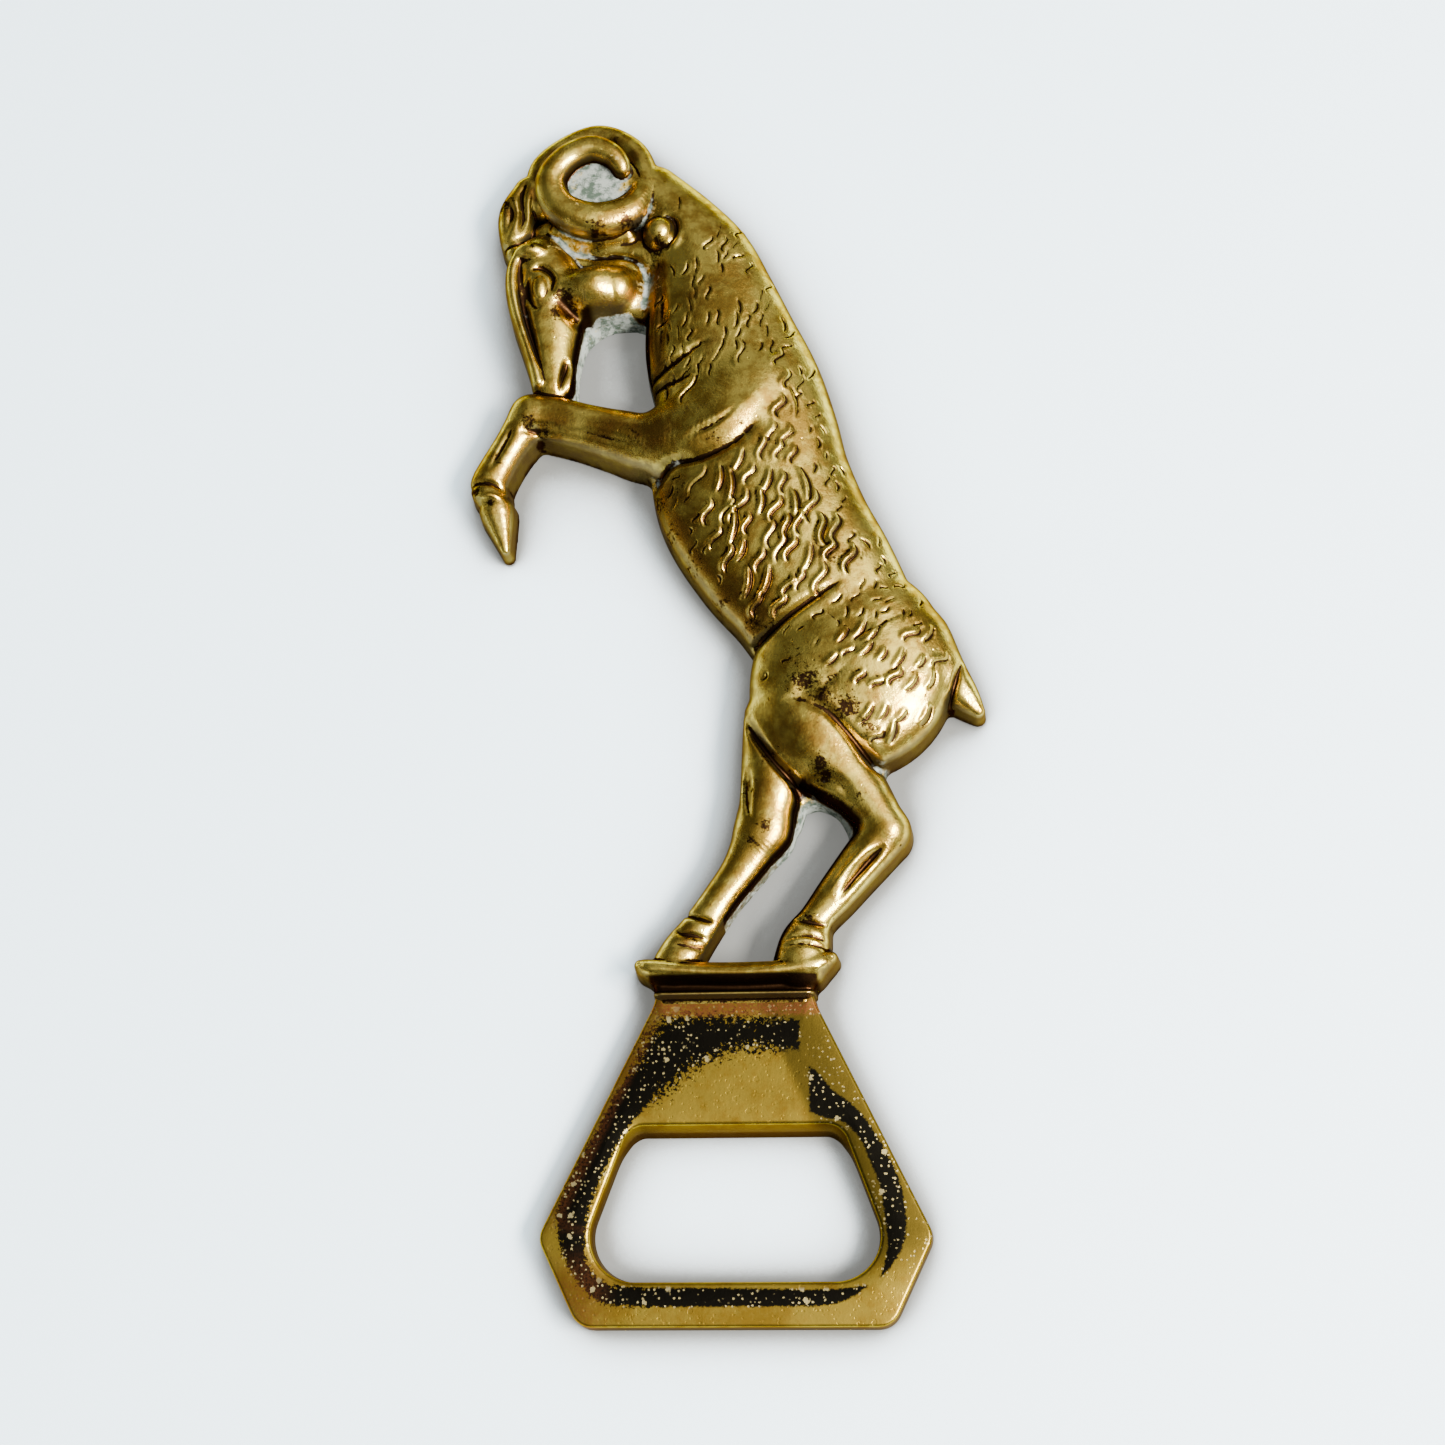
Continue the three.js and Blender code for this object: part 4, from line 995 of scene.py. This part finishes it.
def ram_casting():
    sheet = Sheet((-34, 34), (32, 148), 0.08)
    for stations in MARKS:
        sheet.stroke([(*station, 0)[:4] for station in stations])
    fur(sheet)
    p, quads, normals, flat = figure_mesh(sheet)
    wear = casting_wear(p, normals, *hollowness(p, quads, (4, 40)))
    on_back = flat[quads].all(1)
    front, back = quads[~on_back], flat_back(p, quads[on_back])
    turned = np.cross(p[front[:, 1]] - p[front[:, 0]], p[front[:, 2]] - p[front[:, 0]])
    if (turned * normals[front[:, 0]]).sum(1).mean() < 0:
        front = front[:, ::-1]
    return joined("ram_casting", p, front, back, cast_brass(), wear)


def opener_plate():
    p, quads = plate_mesh()
    x, y, z = p.T
    # painted dark reflection on the face
    dark_reflection = np.where(z > 3.0, dark_reflection_depth(x, y), -2.0)
    from_left_edge = (x + 21 - np.clip(y - 9.2, 0, None) * 0.49) * ramp(y, 9, 12)
    red = np.maximum.reduce([
        0.9 * ramp(y, 32.4, 33.0) * ramp(y, 34.6, 34.0) + 0.5 * ramp(y, 9, 3) * ramp(x, -12, -17),
        0.4 * ramp(from_left_edge, 2.2, 1.0) * ramp(y, 9, 12) * ramp(x, -4, -8),
    ])
    speckled = ramp(dark_reflection, -0.3, 0.1) + 0.6 * ramp(x, 7, 10) * ramp(y, 5, 8) + 0.4 * red
    ragged_top = 8.5 * ramp(x, 8, 2) * ramp(y, 18, 24) * ramp(x + 0.5 * y, 1.0, 5.0)
    wear = {
        "dark_reflection": dark_reflection,
        "red": red,
        # painted shade along the right edge
        "olive_shade": ramp(x + 0.45 * (y - 20), 8.2, 9.6) * ramp(y, 3, 10),
        # painted shade on the walls
        "wall": ramp(z, 3.1, 2.6),
        "fleck": np.clip(speckled, 0, 1) * ramp(z, 3.0, 3.3),
        "ragged": 0.9 + ragged_top + 2.0 * ramp(x, -6, -12),
    }
    return joined("opener_plate", p, quads, np.zeros((0, 3), int), plate_brass(), wear)


CAST = [
    "plinth", "far_shank", "near_shank", "far_thigh", "near_thigh", "tail", "fore_hoof", "fore_cannon",
    "forearm", "muzzle", "haunch", "barrel", "shoulder", "horn", "ear", "neck", "head",
]

figure = ram_casting()
plate = opener_plate()
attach(figure, "root")
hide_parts(*CAST)
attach(plate, "root")
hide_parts("lower_bar", "left_arm", "right_arm", "web")

WARM, COOL, SKY = (1.0, 0.97, 0.92), (0.95, 0.97, 1.0), (0.86, 0.91, 1.0, 1.0)
MIDDLE = (0, 0, 0)


def aimed(obj, place, target, axis):
    obj.location = place
    obj.rotation_euler = (Vector(target) - Vector(place)).to_track_quat(axis, "Y").to_euler()


def floor_sheet():
    """A pale table top that glows evenly in the open, with a painted shadow that darkens its colour and
    glow close to the casting.
    """
    bpy.ops.mesh.primitive_plane_add(size=3.0, location=(0, 0, -0.0002))
    sheet = bpy.context.object
    sheet.name = "table_top"
    s = Shader("table_top")
    # painted shadow: ambient occlusion drives the dark colour and weaker glow near the casting
    shelter = s.node("ShaderNodeAmbientOcclusion", samples=16)
    shelter.inputs["Distance"].default_value = 0.016
    open_sky = s.step(shelter.outputs["AO"], 0.56, 1.0)
    tint = s.mix(s.noise(90, 3, 0.5), (0.50, 0.56, 0.60), (0.54, 0.60, 0.64))
    s.set("Base Color", s.mix(open_sky, (0.07, 0.072, 0.068), tint))
    s.set("Emission Color", s.mix(open_sky, (1.0, 1.0, 0.93), (0.60, 0.87, 1.0)))
    s.set("Emission Strength", s.scaled(open_sky, 1.85, 0.17))
    s.set("Roughness", 0.6)
    sheet.data.materials.append(s.material)


def panel(name, place, size, watts, colour):
    """A soft rectangular light that faces the object."""
    light = bpy.data.lights.new(name, "AREA")
    light.shape = "RECTANGLE"
    light.size, light.size_y = size
    light.energy = watts
    light.color = colour
    obj = bpy.data.objects.new(name, light)
    aimed(obj, place, MIDDLE, "-Z")
    bpy.context.scene.collection.objects.link(obj)


def dark_card(name, place, target, size, level):
    """A dark card that only reflections see."""
    bpy.ops.mesh.primitive_plane_add(size=1.0)
    card = bpy.context.object
    card.name = name
    card.scale = (*size, 1)
    aimed(card, place, target, "Z")
    s = Shader(name)
    s.set("Base Color", (level, level, level, 1.0))
    s.set("Roughness", 1.0)
    card.data.materials.append(s.material)
    card.visible_camera = card.visible_diffuse = card.visible_shadow = False


def room():
    world = bpy.data.worlds.new("room")
    world.use_nodes = True
    sky = world.node_tree.nodes["Background"]
    sky.inputs["Color"].default_value = SKY
    sky.inputs["Strength"].default_value = 0.5
    bpy.context.scene.world = world
    panel("window", (0.47, -0.17, 0.54), (0.40, 0.16), 35.0, WARM)
    panel("fill", (0.1, -0.1, 0.9), (0.5, 0.5), 1.0, COOL)
    panel("bright_wall", (0.44, 0.26, 0.72), (0.6, 0.6), 3.0, WARM)
    dark_card("dark_side", (-0.40, 0.10, 0.25), MIDDLE, (0.95, 0.6), 0.015)
    dark_card("dark_end", (-0.08, -0.5, 0.25), MIDDLE, (0.6, 0.4), 0.015)
    # low rails round the object, which darken its side walls
    for name, x, y, length in (("rail_left", -0.085, 0, 0.30), ("rail_right", 0.085, 0, 0.30),
                               ("rail_top", 0, 0.13, 0.20), ("rail_foot", 0, -0.13, 0.20)):
        dark_card(name, (x, y, 0.02), (0, 0, 0.02), (length, 0.04), 0.05)


def camera():
    lens = bpy.data.cameras.new("camera")
    lens.sensor_width = 36.0
    lens.lens = 54.81
    lens.clip_start = 0.01
    view = bpy.data.objects.new("camera", lens)
    right, up = Vector((0.99597, 0.00206, -0.08964)), Vector((0.02611, 0.94975, 0.31192))
    turn = Matrix((right, up, right.cross(up))).transposed()
    view.matrix_world = Matrix.Translation((0.02163, -0.08422, 0.23930)) @ turn.to_4x4()
    bpy.context.scene.collection.objects.link(view)
    bpy.context.scene.camera = view


floor_sheet()
room()
camera()
